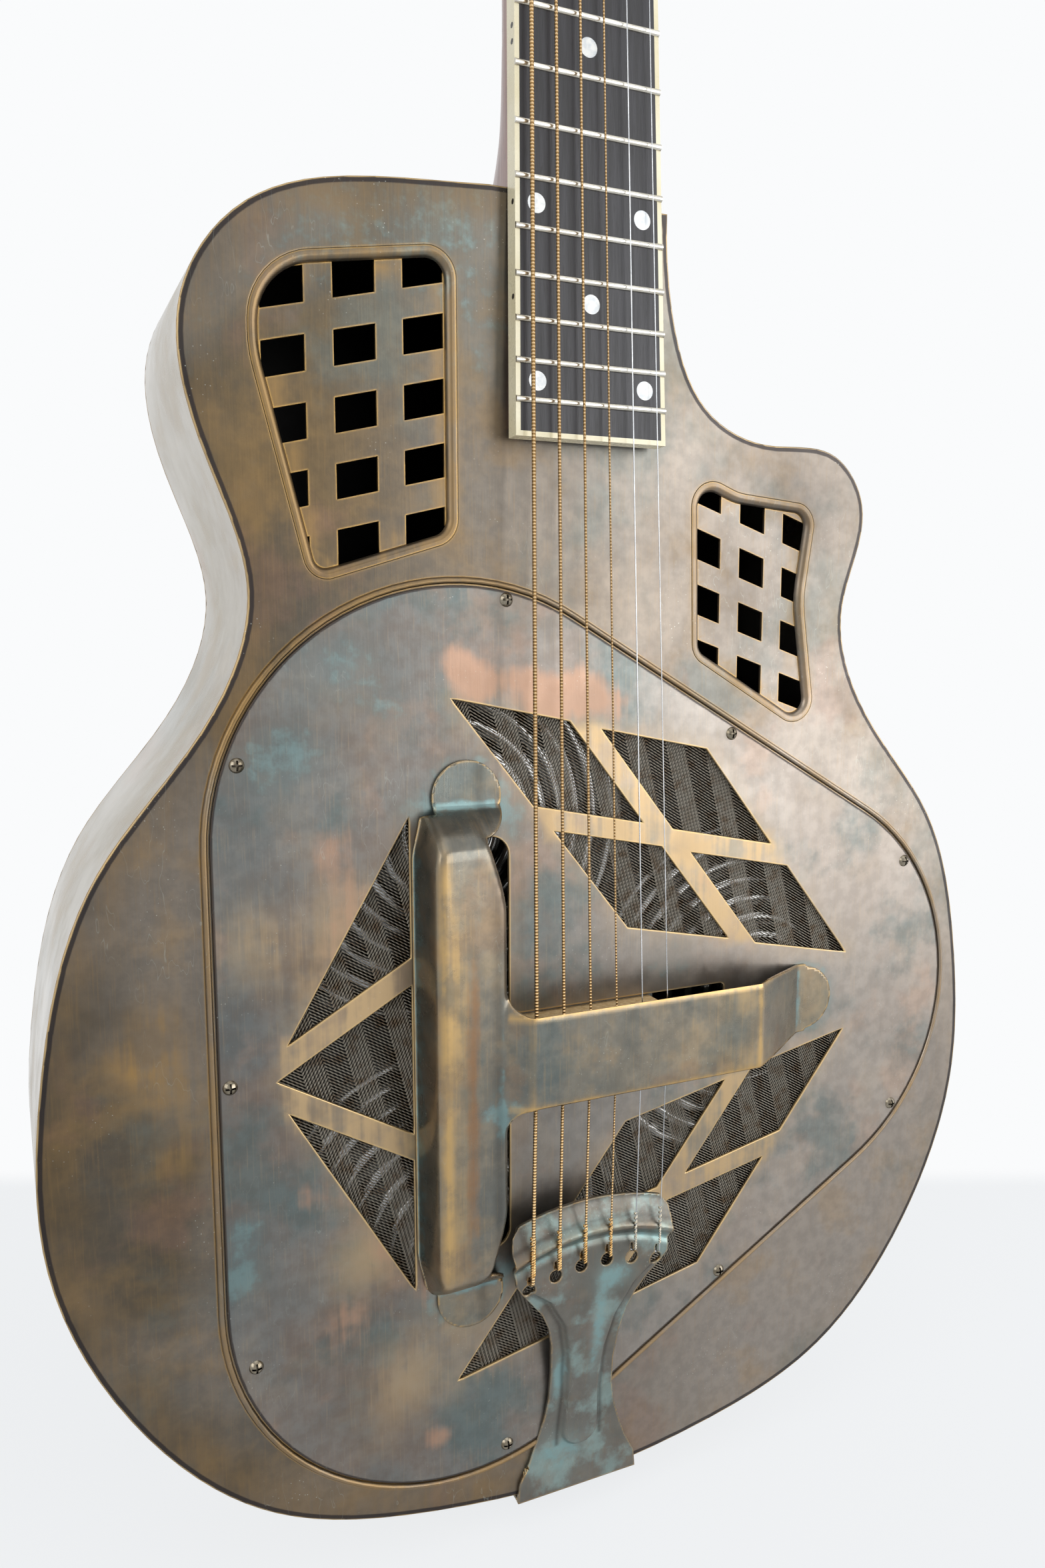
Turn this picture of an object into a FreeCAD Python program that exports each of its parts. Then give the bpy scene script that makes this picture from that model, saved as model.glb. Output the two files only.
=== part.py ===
import FreeCAD, Part
import Sketcher
import math
import os

from FreeCAD import Placement, Rotation, Vector

# Tricone resonator guitar, standing on its tail.
# Frame: +Z runs up the neck, +X is the treble side, the face looks along -Y.
# The origin is the middle of the tail, half way through the depth of the body.

doc = FreeCAD.newDocument("resonator_guitar")

# ---------------------------------------------------------------- driving dimensions

DRIVING = {
    # strings and scale
    "scale_length": 635.0,
    "compensation": 3.9,
    "saddle_above_axis": 9.0,
    "string_height_saddle": 19.9,
    "string_height_nut": 1.45,
    "string_span_saddle": 53.2,
    "string_span_nut": 36.0,
    # sheet-metal body
    "body_depth": 80.0,
    "body_sheet": 1.2,
    "side_margin": 12.5,
    "grille_depth": 2.0,
    "tail_margin": 18.65,
    "joint_back_of_fret": 1.9,
    "cutaway_clearance": 6.5,
    # cones and coverplate
    "cone_diameter": 152.0,
    "cone_gap": 4.7,
    "cone_height": 13.0,
    "cone_sheet": 0.6,
    "cone_rim_depth": 22.0,
    "well_sheet": 1.2,
    "well_clearance": 1.5,
    "well_mouth": 70.0,
    "cover_margin": 9.6,
    "cover_shift": -1.0,
    "cover_sheet": 1.2,
    "mouth_clearance": 0.8,
    "bead_width": 2.4,
    "bead_height": 1.6,
    "bead_gap": 0.6,
    "mesh_sheet": 0.7,
    "mesh_margin": 4.0,
    # bridge and saddle
    "bridge_width": 10.0,
    "bridge_gap": 1.0,
    "bridge_foot_radius": 6.0,
    "saddle_width": 61.0,
    "saddle_thickness": 2.6,
    # handrest
    "rest_sheet": 1.2,
    "rest_string_gap": 0.6,
    "rest_half_width": 16.5,
    "rest_foot_radius": 12.8,
    # tailpiece
    "tail_sheet": 1.5,
    "tail_crest_height": 16.8,
    "tail_crest_behind": 80.0,
    "tail_foot_half_width": 25.6,
    "tail_flange": 52.0,
    "keyhole_radius": 2.2,
    # neck
    "neck_angle": 2.1,
    "nut_width": 44.9,
    "board_end_width": 57.6,
    "board_thickness": 6.0,
    "board_height_body": 6.3,
    "board_overhang": 11.9,
    "fret_count": 19,
    "body_fret": 14,
    "fret_width": 2.2,
    "fret_height": 1.0,
    "binding_width": 1.7,
    "marker_radius": 3.2,
    "marker_thickness": 1.0,
    "side_dot_radius": 0.9,
    "nut_thickness": 5.0,
    "nut_height": 2.8,
    "neck_depth_nut": 15.0,
    "neck_depth_heel": 18.5,
    "heel_depth": 66.0,
    "heel_length": 46.0,
    "truss_radius": 2.4,
    "truss_clearance": 0.1,
    # headstock
    "head_angle": 14.0,
    "head_length": 163.0,
    "head_half_width": 36.0,
    "head_thickness": 14.0,
    "veneer_thickness": 1.5,
    # tuners
    "post_radius": 3.0,
    "post_fit": 0.05,
    "post_inset": 12.5,
    "post_pitch": 42.0,
    "post_first": 38.0,
    "post_above_head": 19.0,
    "bushing_radius": 4.6,
    "wheel_radius": 6.2,
    "wheel_thickness": 3.5,
    "worm_radius": 2.6,
    "shaft_radius": 1.6,
    "tuner_gap": 0.3,
    "button_half_height": 9.5,
    "button_half_length": 7.0,
    "button_thickness": 6.5,
    # wood inside the body
    "stick_width": 30.0,
    "stick_depth": 24.0,
    "end_block_width": 50.0,
    "end_block_length": 14.0,
    "dowel_radius": 9.0,
    # fasteners
    "screw_head_radius": 2.5,
    "screw_head_height": 1.5,
    "screw_shank_radius": 1.1,
    "screw_shank_length": 7.0,
    "strap_button_radius": 7.0,
    "strap_button_length": 13.0,
}

sheet = doc.addObject("Spreadsheet::Sheet", "sizes")
for row, (alias, value) in enumerate(DRIVING.items(), start=1):
    sheet.set(f"A{row}", alias)
    sheet.set(f"B{row}", str(value))
    sheet.setAlias(f"B{row}", alias)
doc.recompute()


def size(alias):
    """Read one driving dimension back from the sheet."""
    return float(sheet.get(alias))


# ---------------------------------------------------------------- derived places

SCALE = size("scale_length")
FACE = -size("body_depth") / 2
BODY_SHEET = size("body_sheet")
CONE_SPACING = size("cone_diameter") + size("cone_gap")
CORNER_RADIUS = size("cone_diameter") / 2 + size("cover_margin")
CONE_ROW = CONE_SPACING * math.sqrt(3) / 2
BASS_X = size("cover_shift") - CONE_ROW / 3
TREBLE_X = size("cover_shift") + CONE_ROW * 2 / 3
AXIS_Z = CONE_SPACING / 2 + CORNER_RADIUS + size("tail_margin")
HALF_WIDTH = TREBLE_X + CORNER_RADIUS + size("side_margin")
SADDLE_Z = AXIS_Z + size("saddle_above_axis")
ZERO_Z = SADDLE_Z + size("compensation")
COVER_FACE = FACE - size("cover_sheet")


def fret_distance(number):
    """Distance from a fret to the end of the scale."""
    return SCALE * 2 ** (-number / 12)


BODY_FRET_DISTANCE = fret_distance(size("body_fret"))
BODY_TOP = ZERO_Z + BODY_FRET_DISTANCE - size("joint_back_of_fret")
UPPER = BODY_TOP - AXIS_Z

# The neck frame sits on the board's playing face at the body fret; Z runs to the nut, Y to the back.
NECK = Placement(
    Vector(0, FACE - size("board_height_body"), ZERO_Z + BODY_FRET_DISTANCE),
    Rotation(Vector(1, 0, 0), -size("neck_angle")),
)
NUT_Z = SCALE - BODY_FRET_DISTANCE
BOARD_END_Z = fret_distance(size("fret_count")) - BODY_FRET_DISTANCE - size("board_overhang")
BOARD_TAPER = (size("board_end_width") - size("nut_width")) / (NUT_Z - BOARD_END_Z)

# The head frame sits where the board's underside meets the nut, tipped back by the head angle.
HEAD = NECK.multiply(
    Placement(
        Vector(0, size("board_thickness"), NUT_Z + size("nut_thickness")),
        Rotation(Vector(1, 0, 0), -size("head_angle")),
    )
)
HEAD_BACK = size("head_thickness")
POST_X = size("head_half_width") - size("post_inset")

STRING_RADII = (0.71, 0.57, 0.455, 0.33, 0.215, 0.165)
STRING_COUNT = len(STRING_RADII)
STRING_SEAT_GAP = 0.05


def board_half_width(along):
    """Half the board's width at a height along the neck frame."""
    return size("nut_width") / 2 + BOARD_TAPER * (NUT_Z - along) / 2


def string_share(index):
    """From -1/2 at the bass string to +1/2 at the treble string."""
    return index / (STRING_COUNT - 1) - 0.5


# ---------------------------------------------------------------- shape helpers

parts = {}


def keep(label, item):
    """Give an object its label and list it as one piece of the guitar."""
    item.Label = label
    parts[label] = item
    return item


def feature(label, shape, placement=None):
    """A piece whose shape is worked out here."""
    item = doc.addObject("Part::Feature", label)
    item.Shape = shape
    if placement is not None:
        item.Placement = placement
    return keep(label, item)


def face_point(x, height, along):
    """A point over the face: across, above the face, and up the body."""
    return Vector(x, FACE - height, along)


def polygon(points):
    """A closed wire of straight edges."""
    return Part.makePolygon(list(points) + [points[0]])


def curve_through(points, **ends):
    """One smooth edge through points."""
    curve = Part.BSplineCurve()
    curve.interpolate(list(points), **ends)
    return curve.toShape()


def rounded(points, radii):
    """A closed polygon with every corner rounded to its own radius."""
    count = len(points)
    edges = []
    ends = []
    for here, radius in enumerate(radii):
        before = (points[here - 1] - points[here]).normalize()
        after = (points[(here + 1) % count] - points[here]).normalize()
        half_turn = (math.pi - before.getAngle(after)) / 2
        setback = radius * math.tan(half_turn)
        start = points[here] + before * setback
        end = points[here] + after * setback
        inward = (before + after).normalize()
        middle = points[here] + inward * (radius / math.cos(half_turn) - radius)
        ends.append((start, end))
        edges.append(Part.Arc(start, middle, end).toShape())
    closed = []
    for here in range(count):
        closed.append(edges[here])
        closed.append(Part.LineSegment(ends[here][1], ends[(here + 1) % count][0]).toShape())
    return Part.Wire(Part.__sortEdges__(closed))


def slab(wire, thickness, holes=()):
    """A sheet from a wire and its holes, thickened towards the back."""
    solid = Part.Face(wire).extrude(Vector(0, thickness, 0))
    for hole in holes:
        solid = solid.cut(Part.Face(hole).extrude(Vector(0, thickness, 0)))
    return solid


def triangle_hull(radius, height):
    """The rounded triangle that holds the three cones, grown to a corner radius."""
    corners = [
        face_point(BASS_X, height, AXIS_Z + CONE_SPACING / 2),
        face_point(TREBLE_X, height, AXIS_Z),
        face_point(BASS_X, height, AXIS_Z - CONE_SPACING / 2),
    ]
    edges = []
    middle = (corners[0] + corners[1] + corners[2]) / 3
    spans = []
    for here in range(3):
        start, end = corners[here], corners[(here + 1) % 3]
        outward = (start + end) / 2 - middle
        outward.normalize()
        spans.append((start + outward * radius, end + outward * radius))
    for here in range(3):
        edges.append(Part.LineSegment(*spans[here]).toShape())
        corner = corners[(here + 1) % 3]
        bulge = corner + (corner - middle).normalize() * radius
        edges.append(Part.Arc(spans[here][1], bulge, spans[(here + 1) % 3][0]).toShape())
    return Part.Wire(edges)


def disc(centre, radius, length, direction):
    """A cylinder from a centre along a direction."""
    return Part.makeCylinder(radius, length, centre, direction)


def bar_body(label, width, depth, length, corner):
    """A PartDesign bar: a rectangle padded up Z, its sizes taken from three cells."""
    body = doc.addObject("PartDesign::Body", label)
    sketch = body.newObject("Sketcher::SketchObject", label + "_section")
    plane = next(item for item in body.Origin.OriginFeatures if item.Role == "XY_Plane")
    sketch.AttachmentSupport = (plane, "")
    sketch.MapMode = "FlatFace"
    across, back = size(width), size(depth)
    corners = [Vector(0, 0), Vector(across, 0), Vector(across, back), Vector(0, back)]
    for here in range(4):
        sketch.addGeometry(Part.LineSegment(corners[here], corners[(here + 1) % 4]), False)
    for here in range(4):
        sketch.addConstraint(Sketcher.Constraint("Coincident", here, 2, (here + 1) % 4, 1))
    for here, kind in enumerate(("Horizontal", "Vertical", "Horizontal", "Vertical")):
        sketch.addConstraint(Sketcher.Constraint(kind, here))
    sketch.addConstraint(Sketcher.Constraint("Coincident", 0, 1, -1, 1))
    for geometry, kind, cell in ((0, "DistanceX", width), (1, "DistanceY", depth)):
        number = sketch.addConstraint(Sketcher.Constraint(kind, geometry, 1, geometry, 2, size(cell)))
        sketch.setExpression(f"Constraints[{number}]", f"sizes.{cell}")
    pad = body.newObject("PartDesign::Pad", label + "_pad")
    pad.Profile = sketch
    if isinstance(length, str):
        pad.setExpression("Length", f"sizes.{length}")
    else:
        pad.Length = length
    body.Tip = pad
    body.Placement = Placement(corner, Rotation())
    return body


# ---------------------------------------------------------------- body outline

# Across as a share of the half width; up as a share of the upper or the lower length from the cone axis.
LOWER_BOUT = ((0.995, -0.26), (0.868, -0.60), (0.623, -0.863), (0.312, -0.968))
BASS_BOUT = ((0.987, 0.034), (0.885, 0.252), (0.699, 0.408), (0.623, 0.548), (0.690, 0.698))
BASS_SHOULDER = ((0.711, 0.853), (0.603, 0.946), (0.40, 0.988))
TREBLE_BOUT = ((0.987, 0.034), (0.885, 0.245), (0.699, 0.391), (0.625, 0.537))
TREBLE_HORN = ((0.668, 0.675), (0.598, 0.732), (0.425, 0.741), (0.272, 0.781))


def outline_point(across, up):
    """One outline point from its shares."""
    reach = UPPER if up > 0 else AXIS_Z
    return face_point(across * HALF_WIDTH, 0, AXIS_Z + up * reach)


def body_outline():
    """The body seen from the front: flat under the neck, round below, one cutaway."""
    neck_edge = board_half_width(0) + size("cutaway_clearance")
    joint_bass = face_point(-neck_edge, 0, BODY_TOP)
    joint_treble = face_point(neck_edge, 0, BODY_TOP)
    bass = [joint_bass]
    bass += [outline_point(-across, up) for across, up in reversed(BASS_SHOULDER)]
    bass += [outline_point(-across, up) for across, up in reversed(BASS_BOUT)]
    bass += [outline_point(-across, up) for across, up in LOWER_BOUT]
    bass.append(face_point(0, 0, 0))
    treble = [outline_point(across, up) for across, up in reversed(LOWER_BOUT)]
    treble += [outline_point(across, up) for across, up in TREBLE_BOUT]
    treble += [outline_point(across, up) for across, up in TREBLE_HORN]
    treble.append(face_point(neck_edge + 4, 0, AXIS_Z + 0.868 * UPPER))
    treble.append(joint_treble)
    around = curve_through(bass + treble)
    return Part.Wire([around, Part.LineSegment(joint_treble, joint_bass).toShape()])


OUTLINE = body_outline()


OUTLINE_SAMPLES = 220


def inset_outline(distance):
    """The body outline moved inwards: one smooth edge, closed by a straight one under the neck."""
    around = OUTLINE.Edges[0]
    top = BODY_TOP - distance
    moved = []
    for point in around.discretize(Number=OUTLINE_SAMPLES):
        heading = around.tangentAt(around.Curve.parameter(point))
        moved.append(point + Vector(-heading.z, 0, heading.x) * distance)
    inside = [here for here, point in enumerate(moved) if point.z < top - distance]
    ends = []
    for kept, dropped in ((inside[0], inside[0] - 1), (inside[-1], inside[-1] + 1)):
        low, high = moved[kept], moved[dropped]
        ends.append(low + (high - low) * ((top - low.z) / (high.z - low.z)))
    smooth = curve_through([ends[0]] + moved[inside[0] : inside[-1] + 1] + [ends[1]])
    return Part.Wire([smooth, Part.LineSegment(ends[1], ends[0]).toShape()])


# ---------------------------------------------------------------- top plate, back, sides

# Grille frames: across and up as shares, then the corner radius.
BASS_GRILLE = (
    (-0.264, 0.918, 6.0),
    (-0.590, 0.884, 20.0),
    (-0.592, 0.800, 40.0),
    (-0.503, 0.571, 4.0),
    (-0.264, 0.618, 6.0),
)
TREBLE_GRILLE = (
    (0.263, 0.689, 6.0),
    (0.352, 0.667, 25.0),
    (0.528, 0.657, 5.0),
    (0.502, 0.545, 45.0),
    (0.541, 0.379, 5.5),
    (0.271, 0.480, 5.0),
)

# Cover screws: across from the centre line and up from the cone axis, for a cone spacing of DRAWN_SPACING.
DRAWN_SPACING = 156.7
COVER_SCREWS = (
    (-29.0, 159.3),
    (-30.0, -157.3),
    (-122.5, 106.6),
    (-122.9, -99.5),
    (65.0, 109.5),
    (64.3, -110.1),
    (153.2, 52.4),
    (151.2, -54.0),
    (-128.2, 0.8),
)


def cover_point(across, up, height=0.0):
    """A point on the coverplate, growing with the cone spacing."""
    grow = CONE_SPACING / DRAWN_SPACING
    return face_point(across * grow, height, AXIS_Z + up * grow)


def screw_holes(extra):
    """Round cutters on the cover screws, wider than the shank by extra."""
    radius = size("screw_shank_radius") + extra
    return [disc(cover_point(x, z, 5), radius, 40, Vector(0, 1, 0)) for x, z in COVER_SCREWS]


def grille_frame(corners):
    """The rounded outline of one grille."""
    points = [outline_point(across, up) for across, up, radius in corners]
    return rounded(points, [radius for across, up, radius in corners])


def grille_windows(corners, start, width, pitch, height, rise, slope):
    """Slanting windows in columns and rows, trimmed to the grille frame.

    start is the upper left corner of one window as shares; slope is the rise of a row across the body."""
    frame = slab(grille_frame(corners), BODY_SHEET)
    first = outline_point(*start)
    windows = []
    for column in range(-3, 4):
        left = first.x + column * pitch
        for row in range(-6, 7):
            top = first.z + row * rise + slope * (left - first.x)
            shape = polygon(
                [
                    face_point(left, 0, top),
                    face_point(left + width, 0, top + slope * width),
                    face_point(left + width, 0, top + slope * width - height),
                    face_point(left, 0, top - height),
                ]
            )
            piece = frame.common(slab(shape, BODY_SHEET))
            if piece.Volume > 1.0:
                windows.append(piece)
    return Part.makeCompound(windows)


def grille_pan(corners, windows):
    """One grille pressed below the face: a short wall down from its frame and the pierced floor."""
    depth = size("grille_depth")
    frame = grille_frame(corners)
    wall = Part.Face(frame.makeOffset2D(BODY_SHEET)).cut(Part.Face(frame))
    wall = wall.extrude(Vector(0, depth + BODY_SHEET, 0))
    floor = slab(frame, BODY_SHEET).cut(windows)
    floor.translate(Vector(0, depth, 0))
    return wall.fuse(floor)


def top_plate():
    """Front sheet: grilles, the mouth under the coverplate and the bead round it."""
    mouth = triangle_hull(size("cone_diameter") / 2 + size("mouth_clearance"), 0)
    sheet_shape = slab(OUTLINE, BODY_SHEET, [mouth, grille_frame(BASS_GRILLE), grille_frame(TREBLE_GRILLE)])
    bass = grille_windows(BASS_GRILLE, (-0.4635, 0.898), 13.8, 23.2, 11.0, 20.7, 0.24)
    treble = grille_windows(TREBLE_GRILLE, (0.3675, 0.611), 11.1, 19.8, 11.0, 20.3, -0.345)
    pans = [grille_pan(BASS_GRILLE, bass), grille_pan(TREBLE_GRILLE, treble)]
    sheet_shape = sheet_shape.fuse(pans).cut(screw_holes(0.0))
    inner = CORNER_RADIUS + size("bead_gap")
    bead_face = Part.Face(triangle_hull(inner + size("bead_width"), 0))
    bead_face = bead_face.cut(Part.Face(triangle_hull(inner, 0)))
    bead = bead_face.extrude(Vector(0, -size("bead_height"), 0))
    return sheet_shape.fuse(bead)


def side_wall(sign):
    """Half of the side wall, from the tail to the neck joint."""
    inner_face = Part.Face(inset_outline(BODY_SHEET))
    ring = Part.Face(OUTLINE).cut(inner_face)
    wall = ring.extrude(Vector(0, size("body_depth") - 2 * BODY_SHEET, 0))
    wall.translate(Vector(0, BODY_SHEET, 0))
    reach = 2 * HALF_WIDTH
    corner = Vector(0 if sign > 0 else -reach, -reach / 2, -reach / 2)
    half = Part.makeBox(reach, reach, BODY_TOP + reach, corner)
    wall = wall.common(half)
    stick = stick_box(-2 * BODY_SHEET, 4 * BODY_SHEET)
    return wall.cut(stick)


STICK_TOP = FACE + size("cone_rim_depth") + 6.0


def stick_box(start, length):
    """A block with the neck stick's section, measured down from the neck joint."""
    corner = Vector(-size("stick_width") / 2, STICK_TOP, BODY_TOP - start - length)
    return Part.makeBox(size("stick_width"), size("stick_depth"), length, corner)


feature("top_plate", top_plate())
back = slab(OUTLINE, BODY_SHEET)
back.translate(Vector(0, size("body_depth") - BODY_SHEET, 0))
feature("back_plate", back)
feature("side_bass", side_wall(-1))
feature("side_treble", side_wall(1))

# ---------------------------------------------------------------- wood inside the body

END_BLOCK_Z = 2.2 * BODY_SHEET
block = bar_body(
    "end_block_bar",
    "end_block_width",
    "body_depth",
    "end_block_length",
    Vector(-size("end_block_width") / 2, FACE, END_BLOCK_Z),
)
trim = doc.addObject("Part::Box", "end_block_trim")
trim.setExpression("Length", "sizes.end_block_width")
trim.setExpression("Width", "sizes.body_depth - 2 * sizes.body_sheet")
trim.setExpression("Height", "sizes.end_block_length")
trim.Placement = Placement(Vector(-size("end_block_width") / 2, FACE + BODY_SHEET, END_BLOCK_Z), Rotation())
end_block = doc.addObject("Part::Common", "end_block")
end_block.Base = block
end_block.Tool = trim
keep("end_block", end_block)

stick = bar_body(
    "neck_stick",
    "stick_width",
    "stick_depth",
    BODY_TOP - END_BLOCK_Z - size("end_block_length"),
    Vector(-size("stick_width") / 2, STICK_TOP, END_BLOCK_Z + size("end_block_length")),
)
keep("neck_stick", stick)

DOWEL_SHARES = (0.30, 0.62)
dowels = []
for number, share in enumerate(DOWEL_SHARES):
    dowel = doc.addObject("Part::Cylinder", f"dowel_{number}")
    dowel.setExpression("Radius", "sizes.dowel_radius")
    dowel.Height = -FACE - BODY_SHEET - STICK_TOP - size("stick_depth")
    dowel.Placement = Placement(
        Vector(0, STICK_TOP + size("stick_depth"), share * BODY_TOP),
        Rotation(Vector(1, 0, 0), -90),
    )
    dowels.append(dowel)
dowel_group = doc.addObject("Part::Compound", "back_dowels")
dowel_group.Links = dowels
keep("back_dowels", dowel_group)

# ---------------------------------------------------------------- soundwell and cones

CONES = {
    "cone_bass_upper": (BASS_X, AXIS_Z + CONE_SPACING / 2),
    "cone_bass_lower": (BASS_X, AXIS_Z - CONE_SPACING / 2),
    "cone_treble": (TREBLE_X, AXIS_Z),
}
RIM_DEPTH = size("cone_rim_depth")
WELL_RADIUS = size("cone_diameter") / 2 + size("well_clearance")


def soundwell():
    """Pan under the coverplate: a wall down from the top plate and a floor with three mouths."""
    drop = RIM_DEPTH + size("well_sheet") - BODY_SHEET
    outer = Part.Face(triangle_hull(WELL_RADIUS + size("well_sheet"), 0))
    inner = Part.Face(triangle_hull(WELL_RADIUS, 0))
    wall = outer.cut(inner).extrude(Vector(0, drop, 0))
    floor = outer.extrude(Vector(0, size("well_sheet"), 0))
    floor.translate(Vector(0, drop - size("well_sheet"), 0))
    for x, z in CONES.values():
        floor = floor.cut(disc(face_point(x, 1, z), size("well_mouth"), drop + 2, Vector(0, 1, 0)))
    well = wall.fuse(floor)
    well.translate(Vector(0, BODY_SHEET, 0))
    return well.cut(screw_holes(0.2))


def cone_profile(extra):
    """Outline of one spun cone from rim to apex, raised by extra: radius and height over the rim."""
    rim = size("cone_diameter") / 2
    rise = size("cone_height")
    return [
        Vector(rim, 0, extra),
        Vector(rim - 4, 0, extra),
        Vector(rim - 7, 0, extra + 2.5),
        Vector(rim - 10, 0, extra + 0.5),
        Vector(rim * 0.45, 0, extra + rise * 0.72),
        Vector(6, 0, extra + rise),
        Vector(0, 0, extra + rise),
    ]


def spun_cone():
    """A thin spun shell with its apex at the front."""
    low = cone_profile(0)
    high = cone_profile(size("cone_sheet"))
    section = Part.Face(polygon(low + high[::-1]))
    return section.revolve(Vector(0, 0, 0), Vector(0, 0, 1), 360)


feature("soundwell", soundwell())
for name, (x, z) in CONES.items():
    seat = Placement(Vector(x, FACE + RIM_DEPTH, z), Rotation(Vector(1, 0, 0), 90))
    feature(name, spun_cone(), seat)

# ---------------------------------------------------------------- bridge and saddle

CONE_TOP = RIM_DEPTH - size("cone_height") - size("cone_sheet")
SADDLE_FOOT = -size("bridge_gap") - 1.0


def depth_box(x_low, x_high, deep, shallow, z_low, z_high):
    """A block between two heights above the face; heights below the face are negative."""
    corner = Vector(x_low, FACE - shallow, z_low)
    return Part.makeBox(x_high - x_low, shallow - deep, z_high - z_low, corner)


def bridge():
    """Cast T: a bar over the two bass cones, a stem to the treble cone and a boss for the saddle."""
    half = size("bridge_width") / 2
    low = -CONE_TOP
    high = -size("bridge_gap")
    reach = CONE_SPACING / 2
    bar = depth_box(BASS_X - half, BASS_X + half, low + 2, high, AXIS_Z - reach, AXIS_Z + reach)
    stem = depth_box(BASS_X, TREBLE_X, low + 2, high, AXIS_Z - half, AXIS_Z + half)
    boss = depth_box(
        -size("saddle_width") / 2 - 2,
        size("saddle_width") / 2 + 2,
        low + 2,
        high,
        AXIS_Z,
        SADDLE_Z + size("saddle_thickness") / 2 + 0.8,
    )
    shape = bar.fuse([stem, boss])
    for x, z in CONES.values():
        top = face_point(x, high, z)
        shape = shape.fuse(disc(top, size("bridge_foot_radius"), high - low, Vector(0, 1, 0)))
    slot = depth_box(
        -size("saddle_width") / 2,
        size("saddle_width") / 2,
        SADDLE_FOOT - 2,
        high + 1,
        SADDLE_Z - size("saddle_thickness") / 2,
        SADDLE_Z + size("saddle_thickness") / 2,
    )
    return shape.cut(slot).removeSplitter()


def saddle():
    """Maple strip standing in the bridge, one notch for each string."""
    thickness = size("saddle_thickness")
    strip = depth_box(
        -size("saddle_width") / 2,
        size("saddle_width") / 2,
        SADDLE_FOOT - 2,
        size("string_height_saddle") + 0.8,
        SADDLE_Z - thickness / 2,
        SADDLE_Z + thickness / 2,
    )
    for index, radius in enumerate(STRING_RADII):
        x = string_share(index) * size("string_span_saddle")
        notch_bottom = size("string_height_saddle") - STRING_SEAT_GAP
        strip = strip.cut(
            depth_box(x - radius - 0.1, x + radius + 0.1, notch_bottom, 40, SADDLE_Z - 5, SADDLE_Z + 5)
        )
    return strip


feature("bridge", bridge())
feature("saddle", saddle())

# ---------------------------------------------------------------- coverplate and meshes

# Windows on the treble side form a slanting lattice, in millimetres from the centre line and the cone axis
# for a cone spacing of DRAWN_SPACING.
LATTICE_START = (-49.5, 125.7)
LATTICE_ALONG = (58.2, -12.5)
LATTICE_DOWN = (39.0, -48.6)
WINDOW_ALONG = (45.1, -9.2)
WINDOW_DOWN = (30.8, -38.8)
BASS_WINDOW = ((-108.8, 12.1), (-65.5, 85.8), (-65.5, 36.9))
BASS_DIAMOND = ((-112.6, 0.0), (-65.3, 27.0), (-65.3, -27.0))
SLOT_INNER_X = -38.0
SLOT_OUTER_X = -28.5
SLOT_HALF_HEIGHT = 77.0
SLOT_END_X = 64.0
SLOT_TOP = size("saddle_above_axis") + size("saddle_thickness") / 2 + 1.0
SLOT_BOTTOM = -6.0
SLOT_RADII = (1.0, 7.0, 5.0, 2.0, 2.0, 5.0, 7.0, 1.0)


def lattice_windows(mirror):
    """The four slanting windows of one half: mirror is 1 above the axis and -1 below."""
    wires = []
    for row in range(2):
        for column in range(2):
            x = LATTICE_START[0] + row * LATTICE_DOWN[0] + column * LATTICE_ALONG[0]
            z = LATTICE_START[1] + row * LATTICE_DOWN[1] + column * LATTICE_ALONG[1]
            corners = [
                (x, z),
                (x + WINDOW_ALONG[0], z + WINDOW_ALONG[1]),
                (x + WINDOW_ALONG[0] + WINDOW_DOWN[0], z + WINDOW_ALONG[1] + WINDOW_DOWN[1]),
                (x + WINDOW_DOWN[0], z + WINDOW_DOWN[1]),
            ]
            wires.append(polygon([cover_point(cx, mirror * cz) for cx, cz in corners]))
    return wires


def bass_windows():
    """The three triangular windows on the bass side."""
    upper = polygon([cover_point(x, z) for x, z in BASS_WINDOW])
    lower = polygon([cover_point(x, -z) for x, z in BASS_WINDOW])
    middle = polygon([cover_point(x, z) for x, z in BASS_DIAMOND])
    return [upper, middle, lower]


def bridge_slot():
    """The opening that lets the saddle through: upright beside the handrest, then across under its strap."""
    points = [
        (SLOT_INNER_X, SLOT_HALF_HEIGHT),
        (SLOT_OUTER_X, SLOT_HALF_HEIGHT),
        (SLOT_OUTER_X, SLOT_TOP),
        (SLOT_END_X, SLOT_TOP),
        (SLOT_END_X, SLOT_BOTTOM),
        (SLOT_OUTER_X, SLOT_BOTTOM),
        (SLOT_OUTER_X, -SLOT_HALF_HEIGHT),
        (SLOT_INNER_X, -SLOT_HALF_HEIGHT),
    ]
    wire = rounded([face_point(x, -5, AXIS_Z + z) for x, z in points], SLOT_RADII)
    return Part.Face(wire).extrude(Vector(0, -10, 0))


def coverplate():
    """Rounded triangle over the well, with its windows, bridge slot and screw holes."""
    thickness = size("cover_sheet")
    plate = slab(triangle_hull(CORNER_RADIUS, thickness), thickness)
    cutters = []
    for wire in bass_windows() + lattice_windows(1) + lattice_windows(-1):
        window = Part.Face(wire).extrude(Vector(0, -2 * thickness, 0))
        cutters.append(window)
    cutters.append(bridge_slot())
    cutters += screw_holes(0.2)
    return plate.cut(cutters)


def mesh_panel(wires):
    """Woven screen behind a group of windows, standing a margin beyond them."""
    points = []
    for wire in wires:
        points += [vertex.Point for vertex in wire.Vertexes]
    hull = convex_corners([(point.x, point.z) for point in points])
    outline = polygon([face_point(x, 0, z) for x, z in hull])
    grown = outline.makeOffset2D(size("mesh_margin"))
    return Part.Face(grown).extrude(Vector(0, size("mesh_sheet"), 0))


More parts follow.
